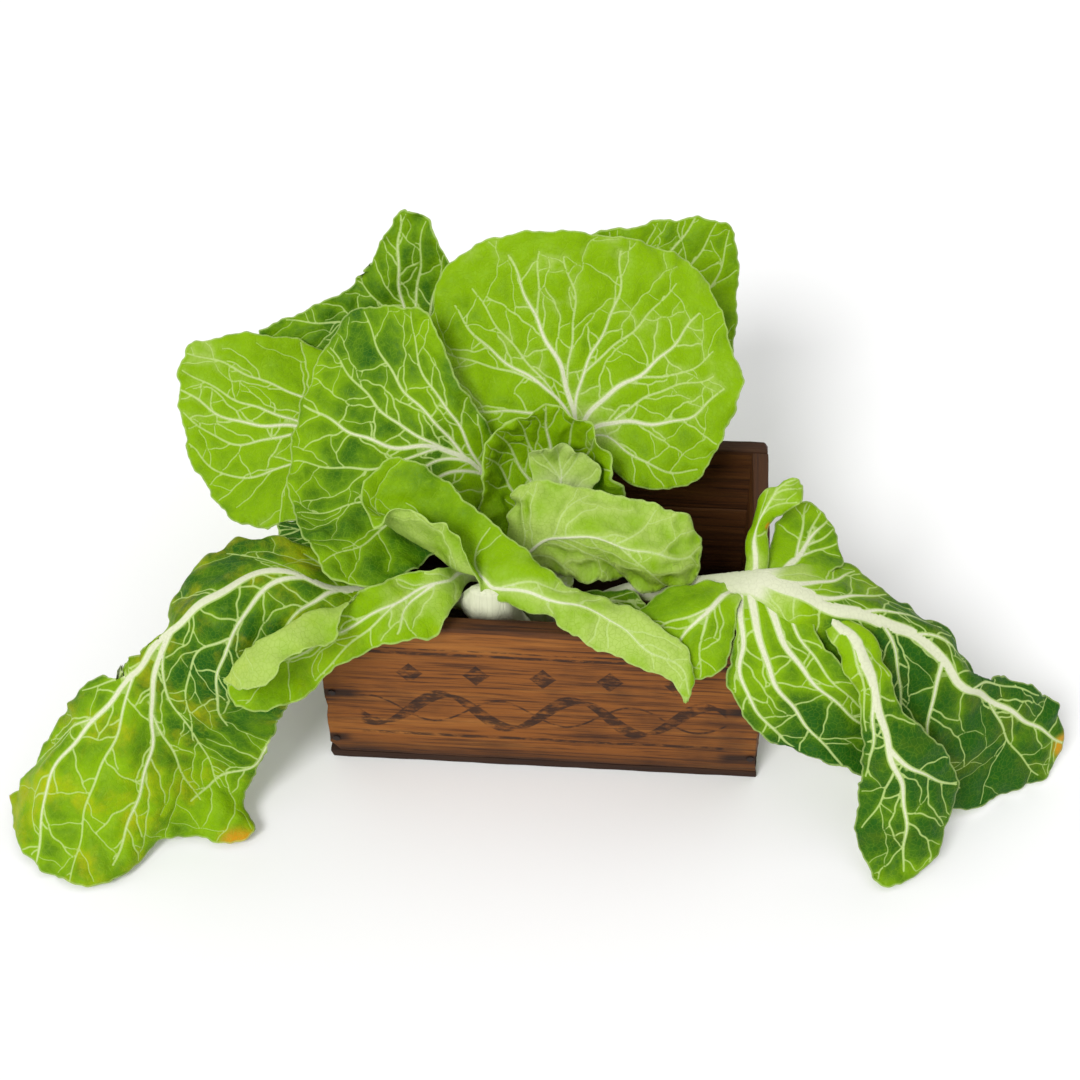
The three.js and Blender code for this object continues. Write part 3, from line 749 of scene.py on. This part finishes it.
                ([(4.2, 1.4), (4.8, 0.6), (5.4, 0.2)], 2.4, 1),
                ([(3.6, 1.2), (3.3, 0.6), (3.3, 0.1)], 2.4, 1),
            ],
        ),
    ],
    "right_drooping_leaf": [
        blade(
            stalk=[(20, -8, 75, 8, 6), (65, -35, 130, 10, 7), (118, -54, 158, 13, 8), (170, -85, 200, 16, 8)],
            rows=[
                ((235, -40, 185), (220, -105, 200), (200, -120, 175)),
                ((270, -65, 175), (265, -105, 185), (245, -130, 130)),
                ((320, -80, 150), (305, -105, 160), (270, -145, 90)),
                ((345, -95, 115), (330, -115, 130), (295, -155, 40)),
                ((375, -80, 100), (360, -105, 100), (340, -150, 10)),
                ((425, -70, 60), (415, -90, 45), (395, -120, 5)),
                ((435, -75, 35), (435, -85, 25), (425, -100, 5)),
            ],
            tips=[(10, 1, 12)],
            tone=(1, 1, 1, 1, 0.35, 0.15, 0.08, 0.05, 0.05, 0.1, 0.2),
            yellow=0.2,
            ribs=[
                ([(0, 1), (3, 1), (4, 1), (10, 1)], 26, 2.4),
                ([(3.2, 1), (3.9, 0.5), (4.3, 0.1)], 9, 1.6),
                ([(3.8, 0.95), (4.6, 0.5), (5, 0.1)], 7, 1.4),
                ([(4.6, 0.95), (5.4, 0.5), (5.9, 0.15)], 5, 1.2),
                ([(5.6, 1), (6.4, 0.5), (6.9, 0.15)], 4, 1),
                ([(7.4, 1), (8.1, 0.5), (8.6, 0.15)], 3, 1),
                ([(5, 1.05), (6, 1.6), (7, 1.8)], 4, 1),
                ([(6.4, 1), (7, 1.6), (8, 1.8)], 5, 1),
                ([(8, 1), (8.8, 1.5), (9.4, 1.8)], 3, 1),
            ],
        ),
        blade(
            rows=[
                ((210, -105, 195), (215, -105, 200), (230, -105, 200)),
                ((235, -140, 170), (245, -135, 185), (265, -130, 175)),
                ((250, -160, 140), (260, -155, 155), (280, -155, 145)),
                ((255, -175, 95), (275, -180, 115), (320, -165, 105)),
                ((255, -185, 55), (290, -190, 75), (335, -170, 65)),
                ((260, -200, 20), (295, -205, 30), (325, -195, 25)),
                ((275, -225, 5), (295, -225, 5), (315, -205, 10)),
            ],
            tone=(0.7, 0.5, 0.25, 0.12, 0.1, 0.15, 0.42),
            upper=-1,
            yellow=0.15,
            ribs=[
                ([(0, 1), (3, 1), (5.6, 1)], 13, 1.4),
                ([(0.6, 1), (1.6, 0.5), (2.4, 0.2)], 3, 1),
                ([(1.8, 1), (2.7, 0.5), (3.3, 0.15)], 5, 1.2),
                ([(2.9, 1), (3.6, 1.5), (3.9, 1.95)], 6, 1.6),
                ([(3.3, 1), (4, 0.5), (4.5, 0.15)], 2.4, 1),
            ],
        ),
        blade(
            rows=[
                ((150, -88, 193), (168, -96, 200), (198, -100, 202)),
                ((150, -125, 175), (175, -125, 180), (220, -130, 180)),
                ((145, -140, 150), (185, -140, 150), (252, -140, 148)),
                ((155, -150, 130), (200, -150, 125), (272, -142, 108)),
                ((180, -160, 100), (220, -155, 95), (280, -150, 78)),
                ((205, -160, 85), (240, -165, 78), (278, -162, 55)),
            ],
            tone=(0.6, 0.35, 0.3, 0.2, 0.12, 0.12),
            upper=-1,
            ribs=[
                ([(0, 0.25), (3, 0.35), (4.3, 0.4)], 7, 1.6),
                ([(0, 0.7), (2, 0.95), (5, 1.15)], 8, 1.6),
                ([(0, 1.2), (2, 1.45), (3.5, 1.85)], 8, 1.6),
                ([(0, 1.6), (2, 1.7), (3, 1.95)], 4, 1),
            ],
        ),
        blade(
            rows=[
                ((142, -68, 180), (152, -80, 188), (160, -90, 193)),
                ((125, -75, 190), (140, -95, 190), (150, -110, 190)),
                ((95, -85, 190), (120, -120, 190), (150, -125, 180)),
                ((75, -103, 182), (105, -132, 174), (145, -138, 166)),
                ((90, -133, 166), (110, -144, 158), (130, -148, 152)),
            ],
            tone=(0.9, 0.6, 0.45, 0.45, 0.5),
            upper=-1,
            mid=(8, 1.2),
            leave=1,
            fan=(0.35, 1.65),
        ),
        blade(
            rows=[
                ((156, -72, 193), (165, -75, 197), (176, -72, 197)),
                ((160, -30, 215), (165, -40, 220), (175, -35, 215)),
                ((170, -15, 235), (180, -20, 240), (195, -25, 230)),
                ((190, -10, 245), (195, -10, 245), (205, -10, 240)),
            ],
            tips=[(1, 1.9, 4)],
            tone=(0.8, 0.55, 0.6, 0.6),
            mid=(6, 1),
            pairs=(1, 1.8),
        ),
        blade(
            rows=[
                ((170, -60, 192), (185, -75, 197), (200, -85, 199)),
                ((190, 0, 200), (210, -30, 200), (235, -50, 190)),
                ((200, 5, 205), (225, -5, 200), (235, -35, 190)),
            ],
            tone=(0.8, 0.38, 0.38),
            mid=(10, 1.4),
            leave=0.2,
            fan=(0.3, 0.7, 1.35, 1.7),
        ),
    ],
}

# ------------------------------------------------------------------ shader maths


class Value:
    """A shader socket that can be used in Python expressions."""

    def __init__(self, tree, socket):
        self.tree = tree
        self.socket = socket

    def math(self, operation, *others, swap=False, clamp=False):
        node = self.tree.nodes.new("ShaderNodeMath")
        node.operation = operation
        node.use_clamp = clamp
        values = [self, *others]
        if swap:
            values = values[::-1]
        for socket, value in zip(node.inputs, values):
            connect(self.tree, socket, value)
        return Value(self.tree, node.outputs[0])

    def __add__(self, other):
        return self.math("ADD", other)

    def __sub__(self, other):
        return self.math("SUBTRACT", other)

    def __rsub__(self, other):
        return self.math("SUBTRACT", other, swap=True)

    def __mul__(self, other):
        return self.math("MULTIPLY", other)

    __radd__ = __add__
    __rmul__ = __mul__

    def sine(self):
        return self.math("SINE")

    def size(self):
        return self.math("ABSOLUTE")

    def most(self, other):
        return self.math("MAXIMUM", other)

    def ramp(self, low, high):
        """0 below low and 1 above high, eased between them; low may be the greater."""
        node = self.tree.nodes.new("ShaderNodeMapRange")
        node.interpolation_type = "SMOOTHSTEP"
        connect(self.tree, node.inputs["Value"], self)
        node.inputs["From Min"].default_value = min(low, high)
        node.inputs["From Max"].default_value = max(low, high)
        node.inputs["To Min"].default_value = 0.0 if low < high else 1.0
        node.inputs["To Max"].default_value = 1.0 if low < high else 0.0
        return Value(self.tree, node.outputs["Result"])


def connect(tree, socket, value):
    if isinstance(value, Value):
        tree.links.new(value.socket, socket)
    elif hasattr(socket.default_value, "__len__") and len(socket.default_value) == 4:
        socket.default_value = (*value[:3], 1.0)
    else:
        socket.default_value = value


class Finish:
    """A material being built: any node comes from node(), colours are mixed by mix()."""

    def __init__(self, name, **constants):
        self.material = bpy.data.materials.new(name)
        self.material.use_nodes = True
        self.tree = self.material.node_tree
        self.shader = self.tree.nodes["Principled BSDF"]
        for socket, value in constants.items():
            self.shader.inputs[socket.replace("_", " ")].default_value = value

    def node(self, kind, settings=None, inputs=None, output=0):
        node = self.tree.nodes.new("ShaderNode" + kind)
        for key, value in (settings or {}).items():
            setattr(node, key, value)
        for key, value in (inputs or {}).items():
            connect(self.tree, node.inputs[key], value)
        return Value(self.tree, node.outputs[output])

    def attribute(self, name, output="Fac"):
        return self.node("Attribute", {"attribute_name": name}, output=output)

    def noise(self, where, scale, detail=3.0, roughness=0.55):
        inputs = {"Vector": where, "Scale": scale, "Detail": detail, "Roughness": roughness}
        return self.node("TexNoise", inputs=inputs)

    def noise_colour(self, where, scale):
        """A vector of noise, for warping a pattern."""
        return self.node("TexNoise", inputs={"Vector": where, "Scale": scale}, output=1)

    def stretched(self, where, scale, location=(0, 0, 0)):
        return self.node("Mapping", inputs={"Vector": where, "Scale": scale, "Location": location})

    def mix(self, first, second, share):
        mixer = self.tree.nodes.new("ShaderNodeMix")
        mixer.data_type = "RGBA"
        connect(self.tree, mixer.inputs[0], share)
        connect(self.tree, mixer.inputs[6], first)
        connect(self.tree, mixer.inputs[7], second)
        return Value(self.tree, mixer.outputs[2])

    def feed(self, socket, value):
        connect(self.tree, self.shader.inputs[socket], value)

    def bump(self, height, distance, strength=1.0):
        node = self.tree.nodes.new("ShaderNodeBump")
        node.inputs["Strength"].default_value = strength
        node.inputs["Distance"].default_value = distance
        connect(self.tree, node.inputs["Height"], height)
        self.tree.links.new(node.outputs[0], self.shader.inputs["Normal"])


def leaf_finish(looks):
    """Fresh leaf: tone runs from deep green over pale green to the white of the petiole."""
    finish = Finish("kale_leaf", Roughness=0.42, Specular_IOR_Level=0.08)
    vein, rim = finish.attribute("vein"), finish.attribute("rim")
    spread = finish.attribute("spread", "Vector")
    mottle = finish.noise(spread, 0.035, 4.0, 0.6)
    speckle = finish.noise(spread, 0.25, 3.0)
    clouds = finish.noise(spread, 0.013, 2.0)
    tone = finish.attribute("tone") + (mottle - 0.5) * 0.5 + (speckle - 0.5) * 0.1 + (clouds - 0.5) * 0.7
    tone = tone + vein.ramp(5.0, 0.0) * 0.10
    colour = finish.mix(tuple(looks.deep), tuple(looks.bright), tone.ramp(0.08, 0.6))
    colour = finish.mix(colour, tuple(looks.pale), tone.ramp(0.58, 0.9))
    yellow = finish.attribute("yellow") * (finish.noise(spread, 0.018, 5.0, 0.65).ramp(0.47, 0.68))
    colour = finish.mix(colour, tuple(looks.yellow), yellow * 0.6)
    tips = finish.attribute("tips") * (0.6 + mottle * 0.9)
    colour = finish.mix(colour, tuple(looks.tips), tips.ramp(0.15, 0.75))
    warped = finish.node("VectorMath", {"operation": "ADD"},
                         {0: spread, 1: finish.noise_colour(spread, 0.3)})
    cells = finish.node("TexVoronoi", {"feature": "DISTANCE_TO_EDGE"},
                        {"Vector": warped, "Scale": 0.24})
    net = cells.ramp(0.09, 0.0)
    colour = finish.mix(colour, tuple(looks.net), net * (0.1 + finish.attribute("tone") * 0.3))
    line = vein.ramp(0.45, -0.45)
    colour = finish.mix(colour, tuple(looks.vein), line * 0.85)
    colour = finish.mix(colour, tuple(looks.rib), vein.ramp(-0.5, -1.6) * 0.95)
    white = finish.attribute("tone").ramp(0.8, 0.98)
    colour = finish.mix(colour, tuple(looks.rib), white)
    # Painted highlight: a pale band about 2 mm wide along the leaf's margin, in the vein colour.
    colour = finish.mix(colour, tuple(looks.vein), rim.ramp(1.9, 0.5) * 0.6)
    finish.feed("Base Color", colour)
    finish.feed("Roughness", 0.38 + mottle * 0.2 + line * 0.08)
    height = vein.ramp(1.6, 0.0) * -0.45 + net * -0.3 + speckle * 0.5
    finish.bump(height, 0.0009, 0.7)
    return finish.material


def wood_finish(looks, name, along, ornament=False, painted_shade=0.0):
    """Old reddish timber: along is the axis that the grain follows, and the last argument darkens the whole
    board as painted shade.
    """
    finish = Finish(name, Roughness=0.6, Specular_IOR_Level=0.15)
    place = finish.node("TexCoord", output="Object")
    scale = [330.0, 330.0, 330.0]
    scale[along] = 9.0
    grain = finish.noise(finish.stretched(place, scale), 1.0, 6.0, 0.65)
    broad = [60.0, 60.0, 60.0]
    broad[along] = 5.0
    band = finish.noise(finish.stretched(place, broad), 1.0, 4.0, 0.6)
    blotch = finish.noise(place, 9.0, 4.0, 0.6)
    colour = finish.mix(tuple(looks.wood_dark), tuple(looks.wood), grain.ramp(0.34, 0.56))
    colour = finish.mix(colour, tuple(looks.wood_light), band.ramp(0.5, 0.72) * 0.75)
    colour = finish.mix(colour, tuple(looks.stain_and_shade), blotch.ramp(0.52, 0.72) * 0.5)
    x = finish.node("SeparateXYZ", inputs={0: place})
    z = Value(finish.tree, x.socket.node.outputs[2])
    wobble = (blotch - 0.5) * 0.03
    # Darker along the foot of each board and along its top edge, in the stain colour.
    foot = (z + wobble).ramp(0.032, 0.004).most((z + wobble * 0.3).ramp(0.159, 0.166) * 0.85)
    colour = finish.mix(colour, tuple(looks.stain_and_shade), foot * 0.8)
    if ornament:
        ink = ornament_mask(x, z)
        worn = finish.noise(finish.stretched(place, (60, 60, 160)), 1.0, 5.0, 0.7).ramp(0.36, 0.56)
        colour = finish.mix(colour, tuple(looks.ink), ink * worn * 0.8)
        colour = finish.mix(colour, tuple(looks.stain_and_shade), nail_stains(x, z, blotch) * 0.9)
    # Painted shade: boards that stand in the shadow inside the box are darkened as a whole with the stain
    # colour.
    if painted_shade:
        colour = finish.mix(colour, tuple(looks.stain_and_shade), painted_shade)
    finish.feed("Base Color", colour)
    finish.feed("Roughness", 0.5 + grain * 0.3)
    finish.bump(grain * 1.0 + band * 0.5, 0.0012, 0.8)
    return finish.material


def ornament_mask(x, z):
    """Faded scrollwork on the front: a double rule, a running wave and lozenges between its turns."""
    rules = ((z - 0.141).size().ramp(0.0012, 0.0004)).most((z - 0.136).size().ramp(0.0022, 0.0012))
    rules = rules.most((z - 0.036).size().ramp(0.0022, 0.0012))
    inside = (x.size()).ramp(0.152, 0.148)
    wave = z - 0.068 - (x * 58.0).sine() * 0.019
    swell = 0.0022 + (x * 58.0 + 1.2).sine().size() * 0.0062
    scroll = (wave.size() - swell).ramp(0.0006, -0.0006)
    second = z - 0.068 + (x * 58.0 + 0.5).sine() * 0.014
    scroll = scroll.most((second.size() - 0.0012).ramp(0.0005, -0.0005))
    turn = ((x * 58.0).sine().size() * 0.02 + (z - 0.112).size()).ramp(0.0125, 0.0115)
    return rules.most(scroll).most(turn) * inside


def nail_stains(x, z, blotch):
    """Dark streaks of iron that run along the grain from each nail."""
    total = None
    for height in (0.026, 0.084, 0.142):
        level = (z - height + (blotch - 0.5) * 0.008).size().ramp(0.0075, 0.002)
        total = level if total is None else total.most(level)
    ends = (x.size() + (blotch - 0.5) * 0.05).ramp(0.146, 0.166)
    return total * ends


def iron_finish(looks):
    finish = Finish("nail_iron", Metallic=0.6, Roughness=0.6)
    place = finish.node("TexCoord", output="Object")
    rust = finish.noise(place, 600.0, 4.0)
    finish.feed("Base Color", finish.mix(tuple(looks.iron), tuple(looks.wood_dark), rust.ramp(0.45, 0.7)))
    finish.feed("Roughness", 0.45 + rust * 0.4)
    finish.bump(rust, 0.0004)
    return finish.material


# ------------------------------------------------------------------ values a user would change


def colour_property(name, default, description):
    return bpy.props.FloatVectorProperty(name=name, description=description, subtype="COLOR",
                                         size=3, min=0.0, max=1.0, default=default)


class KaleLooks(bpy.types.PropertyGroup):
    deep: colour_property("Deep green", (0.016, 0.090, 0.004), "Older outer leaves")
    bright: colour_property("Bright green", (0.205, 0.385, 0.000), "Fresh upper sides")
    pale: colour_property("Pale green", (0.36, 0.50, 0.10), "Undersides and young leaves")
    yellow: colour_property("Yellowing", (0.44, 0.42, 0.003), "Patches on ageing leaves")
    tips: colour_property("Browned tips", (0.52, 0.26, 0.008), "Tips that have begun to dry")
    net: colour_property("Fine net", (0.27, 0.45, 0.02), "Finest veins between the side veins")
    # Also the colour of the painted highlight along the leaf's margin.
    vein: colour_property("Veins", (0.42, 0.56, 0.17), "Side veins and leaf margin")
    rib: colour_property("Ribs", (0.64, 0.66, 0.47), "Petioles and main ribs")
    wood: colour_property("Timber", (0.235, 0.080, 0.016), "Main colour of the boards")
    wood_light: colour_property("Worn timber", (0.37, 0.145, 0.030), "Where the boards are worn")
    wood_dark: colour_property("Dark grain", (0.060, 0.021, 0.008), "Lines of the grain")
    # Real stains on the boards. This colour is also the painted shade on the boards inside the box, and the
    # darkening along each board's foot and top edge.
    stain_and_shade: colour_property("Stains", (0.022, 0.012, 0.009), "Foot of the boards and nail stains")
    ink: colour_property("Ornament", (0.012, 0.009, 0.009), "Faded scrollwork on the front")
    iron: colour_property("Iron", (0.030, 0.024, 0.022), "Nails")


class KaleSizes(bpy.types.PropertyGroup):
    board_edge: bpy.props.FloatProperty(name="Board edge", unit="LENGTH", default=0.0012,
                                        description="How far the boards' edges are rounded")
    board_wear: bpy.props.FloatProperty(name="Board wear", unit="LENGTH", default=0.0009,
                                        description="How far the boards' edges wander")
    end_wear: bpy.props.FloatProperty(name="End wear", unit="LENGTH", default=0.0035,
                                      description="Deepest notch in the boards' ends")
    floor_size: bpy.props.FloatProperty(name="Floor size", unit="LENGTH", default=30.0,
                                        description="Side of the studio floor")
    camera_lens: bpy.props.FloatProperty(name="Camera lens", subtype="DISTANCE_CAMERA", default=68.87,
                                         description="Focal length in millimetres")


# ------------------------------------------------------------------ pieces


def material_named(name, maker, *arguments, **options):
    return bpy.data.materials.get(name) or maker(*arguments, **options)


def piece_from(name, vertices, faces, fields, material):
    mesh = bpy.data.meshes.new(name)
    mesh.from_pydata([tuple(p) for p in vertices], [], [tuple(int(k) for k in f) for f in faces])
    for key, values in fields.items():
        if values.ndim == 1:
            attribute = mesh.attributes.new(key, "FLOAT", "POINT")
            attribute.data.foreach_set("value", values.astype(np.float32))
        else:
            attribute = mesh.attributes.new(key, "FLOAT_VECTOR", "POINT")
            three = np.concatenate([values, np.zeros((len(values), 1))], axis=1)
            attribute.data.foreach_set("vector", three.astype(np.float32).ravel())
    mesh.shade_smooth()
    mesh.materials.append(material)
    piece = bpy.data.objects.new(name, mesh)
    bpy.context.scene.collection.objects.link(piece)
    return piece


def joined(meshes):
    """Several vertex, face and attribute sets as one."""
    vertices, faces, shift = [], [], 0
    for points, corners, _ in meshes:
        vertices.append(points)
        faces.append(corners + shift)
        shift += len(points)
    fields = {key: np.concatenate([m[2][key] for m in meshes]) for key in meshes[0][2]}
    return np.concatenate(vertices), np.concatenate(faces), fields


def bulb_mesh():
    """The swollen white base of the front leaf, closed at both ends."""
    sides, rings = 40, 30
    route = np.array(FRONT_BULB, float)
    where = np.linspace(0, len(route) - 1, rings)
    route = catmull(np.broadcast_to(route, (rings, *route.shape)), where)
    angle = np.linspace(0, 2 * math.pi, sides, endpoint=False)
    flute = 1 + 0.03 * np.cos(angle * 9)
    ring = np.stack([np.cos(angle) * flute, np.sin(angle) * flute], -1)
    points = np.zeros((rings, sides, 3))
    points[:, :, :2] = route[:, None, :2] + ring[None] * route[:, None, 3:5] * 1.15
    points[:, :, 2] = route[:, None, 2]
    index = np.arange(rings * sides).reshape(rings, sides)
    a, b = index[:-1], np.roll(index[:-1], -1, 1)
    c, d = np.roll(index[1:], -1, 1), index[1:]
    faces = [np.stack([a, b, c], -1).reshape(-1, 3), np.stack([a, c, d], -1).reshape(-1, 3)]
    ends = rings * sides
    foot, head = np.full(sides, ends), np.full(sides, ends + 1)
    faces.append(np.stack([np.roll(index[0], -1), index[0], foot], -1))
    faces.append(np.stack([index[-1], np.roll(index[-1], -1), head], -1))
    vertices = np.concatenate([points.reshape(-1, 3), route[:1, :3], route[-1:, :3] + (0, 0, 3)])
    count = len(vertices)
    fields = {"vein": np.full(count, 2.0), "rim": np.full(count, 20.0),
              "tone": np.full(count, 1.0), "yellow": np.zeros(count), "spread": vertices[:, :2],
              "tips": np.zeros(count)}
    return vertices * MM, np.concatenate(faces), fields


def deselect_all():
    bpy.ops.object.select_all(action="DESELECT")


def place_in_mesh(piece):
    """Leaves the object at the origin, unturned and unscaled, with its place in its mesh."""
    deselect_all()
    piece.select_set(True)
    bpy.context.view_layer.objects.active = piece
    bpy.ops.object.transform_apply(location=True, rotation=True, scale=True)


def stands_for(piece, node):
    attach(piece, BODY)
    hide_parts(node)


class KALE_OT_leaves(bpy.types.Operator):
    """Model every leaf with its veins, puckers and frilled margin"""
    bl_idname = "kale.leaves"
    bl_label = "Leaves"

    def execute(self, context):
        finish = material_named("kale_leaf", leaf_finish, context.scene.kale_looks)
        for number, (name, blades) in enumerate(LEAVES.items()):
            meshes = [blade_mesh(spec, 10 * number + k + 1) for k, spec in enumerate(blades)]
            if name == "front_tongue_leaf":
                meshes.append(bulb_mesh())
            piece = piece_from(name + "_looks", *joined(meshes), finish)
            stands_for(piece, name)
        return {"FINISHED"}


class KALE_OT_stem(bpy.types.Operator):
    """Model the short stem that the leaves grow from"""
    bl_idname = "kale.stem"
    bl_label = "Stem"

    def execute(self, context):
        low, high = (Vector(corner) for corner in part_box("stem"))
        deselect_all()
        bpy.ops.mesh.primitive_cylinder_add(vertices=48, radius=(high.x - low.x) / 2 * 0.97,
                                            depth=high.z - low.z, location=(low + high) / 2)
        piece = context.active_object
        piece.name = "stem_looks"
        bpy.ops.object.mode_set(mode="EDIT")
        bpy.ops.mesh.select_all(action="SELECT")
        bpy.ops.mesh.subdivide(number_cuts=6)
        bpy.ops.object.mode_set(mode="OBJECT")
        place_in_mesh(piece)
        centre = (low + high) / 2
        for vertex in piece.data.vertices:
            height = (vertex.co.z - low.z) / (high.z - low.z)
            turn = math.atan2(vertex.co.y - centre.y, vertex.co.x - centre.x)
            scar = 0.03 * math.sin(5 * turn + 14 * height) - 0.1 * (1 - height)
            vertex.co.x += (vertex.co.x - centre.x) * (scar - 0.02)
            vertex.co.y += (vertex.co.y - centre.y) * (scar - 0.02)
        finish = Finish("kale_stem", Roughness=0.5)
        place = finish.node("TexCoord", output="Object")
        streak = finish.noise(finish.stretched(place, (90, 90, 12)), 1.0, 4.0)
        looks = context.scene.kale_looks
        finish.feed("Base Color", finish.mix(tuple(looks.pale), tuple(looks.rib), streak.ramp(0.35, 0.6)))
        finish.bump(streak, 0.001)
        piece.data.materials.append(finish.material)
        deselect_all()
        piece.select_set(True)
        bpy.ops.object.shade_smooth_by_angle(angle=math.radians(50))
        stands_for(piece, "stem")
        return {"FINISHED"}


def board_piece(context, node, material, chip=None):
    """A board the size of its CAD node, with worn, slightly wandering edges."""
    sizes = context.scene.kale_sizes
    low, high = (Vector(corner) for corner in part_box(node))
    deselect_all()
    bpy.ops.mesh.primitive_cube_add(size=1, location=(low + high) / 2, scale=high - low)
    piece = context.active_object
    piece.name = node + "_looks"
    place_in_mesh(piece)
    extent = high - low
    longest = max(range(3), key=lambda axis: extent[axis])
    bpy.ops.object.mode_set(mode="EDIT")
    widest = sorted(range(3), key=lambda axis: extent[axis])[1]
    for axis, cuts in ((longest, 24), (widest, 14)):
        for cut in range(1, cuts):
            bpy.ops.mesh.select_all(action="SELECT")
            plane = low.copy()
            plane[axis] = low[axis] + extent[axis] * cut / cuts
            normal = [0, 0, 0]
            normal[axis] = 1
            bpy.ops.mesh.bisect(plane_co=plane, plane_no=normal)
    bpy.ops.object.mode_set(mode="OBJECT")
    phase = len(node) * 1.7
    chance = np.random.default_rng(len(node))
    inward = (low + high) / 2
    for vertex in piece.data.vertices:
        way = vertex.co[longest] * 55 + phase
        for axis in range(3):
            if axis != longest:
                wander = math.sin(way + axis * 2 + (vertex.co[(axis + 1) % 3] > inward[(axis + 1) % 3]) * 1.9)
                wander = sizes.board_wear * 0.5 * (wander + 0.6 * math.sin(way * 2.7 + axis) + 1.4)
                side = abs(vertex.co[axis] - inward[axis]) > extent[axis] / 2 - 0.0001
                vertex.co[axis] += wander * (1 if vertex.co[axis] < inward[axis] else -1) * 0.5 * side
        end = vertex.co[longest] - inward[longest]
        if abs(end) > extent[longest] / 2 - 0.0001:
            rough = chance.random() ** 2 * sizes.end_wear
            vertex.co[longest] -= math.copysign(rough, end)
    if chip:
        for vertex in piece.data.vertices:
            if vertex.co.z < low.z + 0.004 and vertex.co.x < low.x + 0.004:
                vertex.co.z += chip[1] * 0.55
                vertex.co.x += chip[0] * 0.3
            elif vertex.co.z < low.z + 0.004 and vertex.co.x < low.x + 0.018:
                vertex.co.x -= 0.006
    modifier = piece.modifiers.new("worn_edges", "BEVEL")
    modifier.width = sizes.board_edge
    modifier.segments = 3
    modifier.limit_method = "ANGLE"
    context.view_layer.objects.active = piece
    bpy.ops.object.modifier_apply(modifier=modifier.name)
    piece.data.materials.append(material)
    deselect_all()
    piece.select_set(True)
    bpy.ops.object.shade_smooth_by_angle(angle=math.radians(40))
    stands_for(piece, node)


class KALE_OT_box(bpy.types.Operator):
    """Model the boards of the box and give its nails their finish"""
    bl_idname = "kale.box"
    bl_label = "Wooden box"

    def execute(self, context):
        looks = context.scene.kale_looks
        front = wood_finish(looks, "front_timber", 0, ornament=True)
        # The back, end and floor boards get painted shade, deeper the further they sit inside the box; the
        # front board gets none.
        long_way = wood_finish(looks, "long_timber", 0, painted_shade=0.6)
        end_way = wood_finish(looks, "end_timber", 1, painted_shade=0.4)
        floor = wood_finish(looks, "floor_timber", 0, painted_shade=0.7)
        iron = iron_finish(looks)
        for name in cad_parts:
            if name.startswith("nail"):
                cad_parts[name].data.materials.clear()
                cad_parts[name].data.materials.append(iron)
            elif name == "box_front_board":
                board_piece(context, name, front, chip=(0.007, 0.015))
            elif name.startswith("box_floor"):
                board_piece(context, name, floor)
            elif name.startswith("box_back"):
                board_piece(context, name, long_way)
            elif name.startswith("box_"):
                board_piece(context, name, end_way)
        return {"FINISHED"}


class KALE_OT_stage(bpy.types.Operator):
    """Set up the pale floor, the soft lights and the camera"""
    bl_idname = "kale.stage"
    bl_label = "Stage"

    def execute(self, context):
        sizes = context.scene.kale_sizes
        deselect_all()
        bpy.ops.mesh.primitive_plane_add(size=sizes.floor_size, location=(0, 0, 0))
        floor = context.active_object
        floor.name = "studio_floor"
        paper = Finish("studio_paper", Base_Color=(0.9, 0.9, 0.9, 1), Roughness=0.9)
        floor.data.materials.append(paper.material)

        world = bpy.data.worlds.new("studio_air")
        world.use_nodes = True
        world.node_tree.nodes["Background"].inputs["Color"].default_value = (1, 1, 1, 1)
        world.node_tree.nodes["Background"].inputs["Strength"].default_value = 0.7
        context.scene.world = world
        for name, tilt, strength, spread in (("key_light", (40, -24, 0), 2.0, 22),
                                             ("fill_light", (-35, 30, 0), 0.3, 60)):
            light = bpy.data.lights.new(name, "SUN")
            light.energy = strength
            light.angle = math.radians(spread)
            lamp = bpy.data.objects.new(name, light)
            lamp.rotation_euler = [math.radians(angle) for angle in tilt]
            context.scene.collection.objects.link(lamp)

        camera = bpy.data.cameras.new("camera")
        camera.lens = sizes.camera_lens
        camera.sensor_width = 36.0
        view = bpy.data.objects.new("camera", camera)
        view.location = (0.0700, -1.2140, 1.3690)
        view.rotation_euler = (math.radians(45.0), 0.0, math.radians(3.77))
        context.scene.collection.objects.link(view)
        context.scene.camera = view
        context.scene.view_settings.view_transform = "Standard"
        return {"FINISHED"}


class KALE_PT_panel(bpy.types.Panel):
    """Lists the pieces, sizes and colours"""
    bl_label = "Tronchuda kale"
    bl_idname = "KALE_PT_panel"
    bl_space_type = "VIEW_3D"
    bl_region_type = "UI"
    bl_category = "Kale"

    def draw(self, context):
        for operator in OPERATORS:
            self.layout.operator(operator.bl_idname)
        for group in (context.scene.kale_sizes, context.scene.kale_looks):
            for name in group.__annotations__:
                self.layout.prop(group, name)


OPERATORS = (KALE_OT_box, KALE_OT_stem, KALE_OT_leaves, KALE_OT_stage)
CLASSES = (KaleLooks, KaleSizes, *OPERATORS, KALE_PT_panel)


def register():
    for cls in CLASSES:
        bpy.utils.register_class(cls)
    bpy.types.Scene.kale_looks = bpy.props.PointerProperty(type=KaleLooks)
    bpy.types.Scene.kale_sizes = bpy.props.PointerProperty(type=KaleSizes)


def unregister():
    del bpy.types.Scene.kale_looks
    del bpy.types.Scene.kale_sizes
    for cls in reversed(CLASSES):
        bpy.utils.unregister_class(cls)


def main():
    register()
    for operator in OPERATORS:
        group, name = operator.bl_idname.split(".")
        getattr(getattr(bpy.ops, group), name)()


if __name__ == "__main__":
    main()
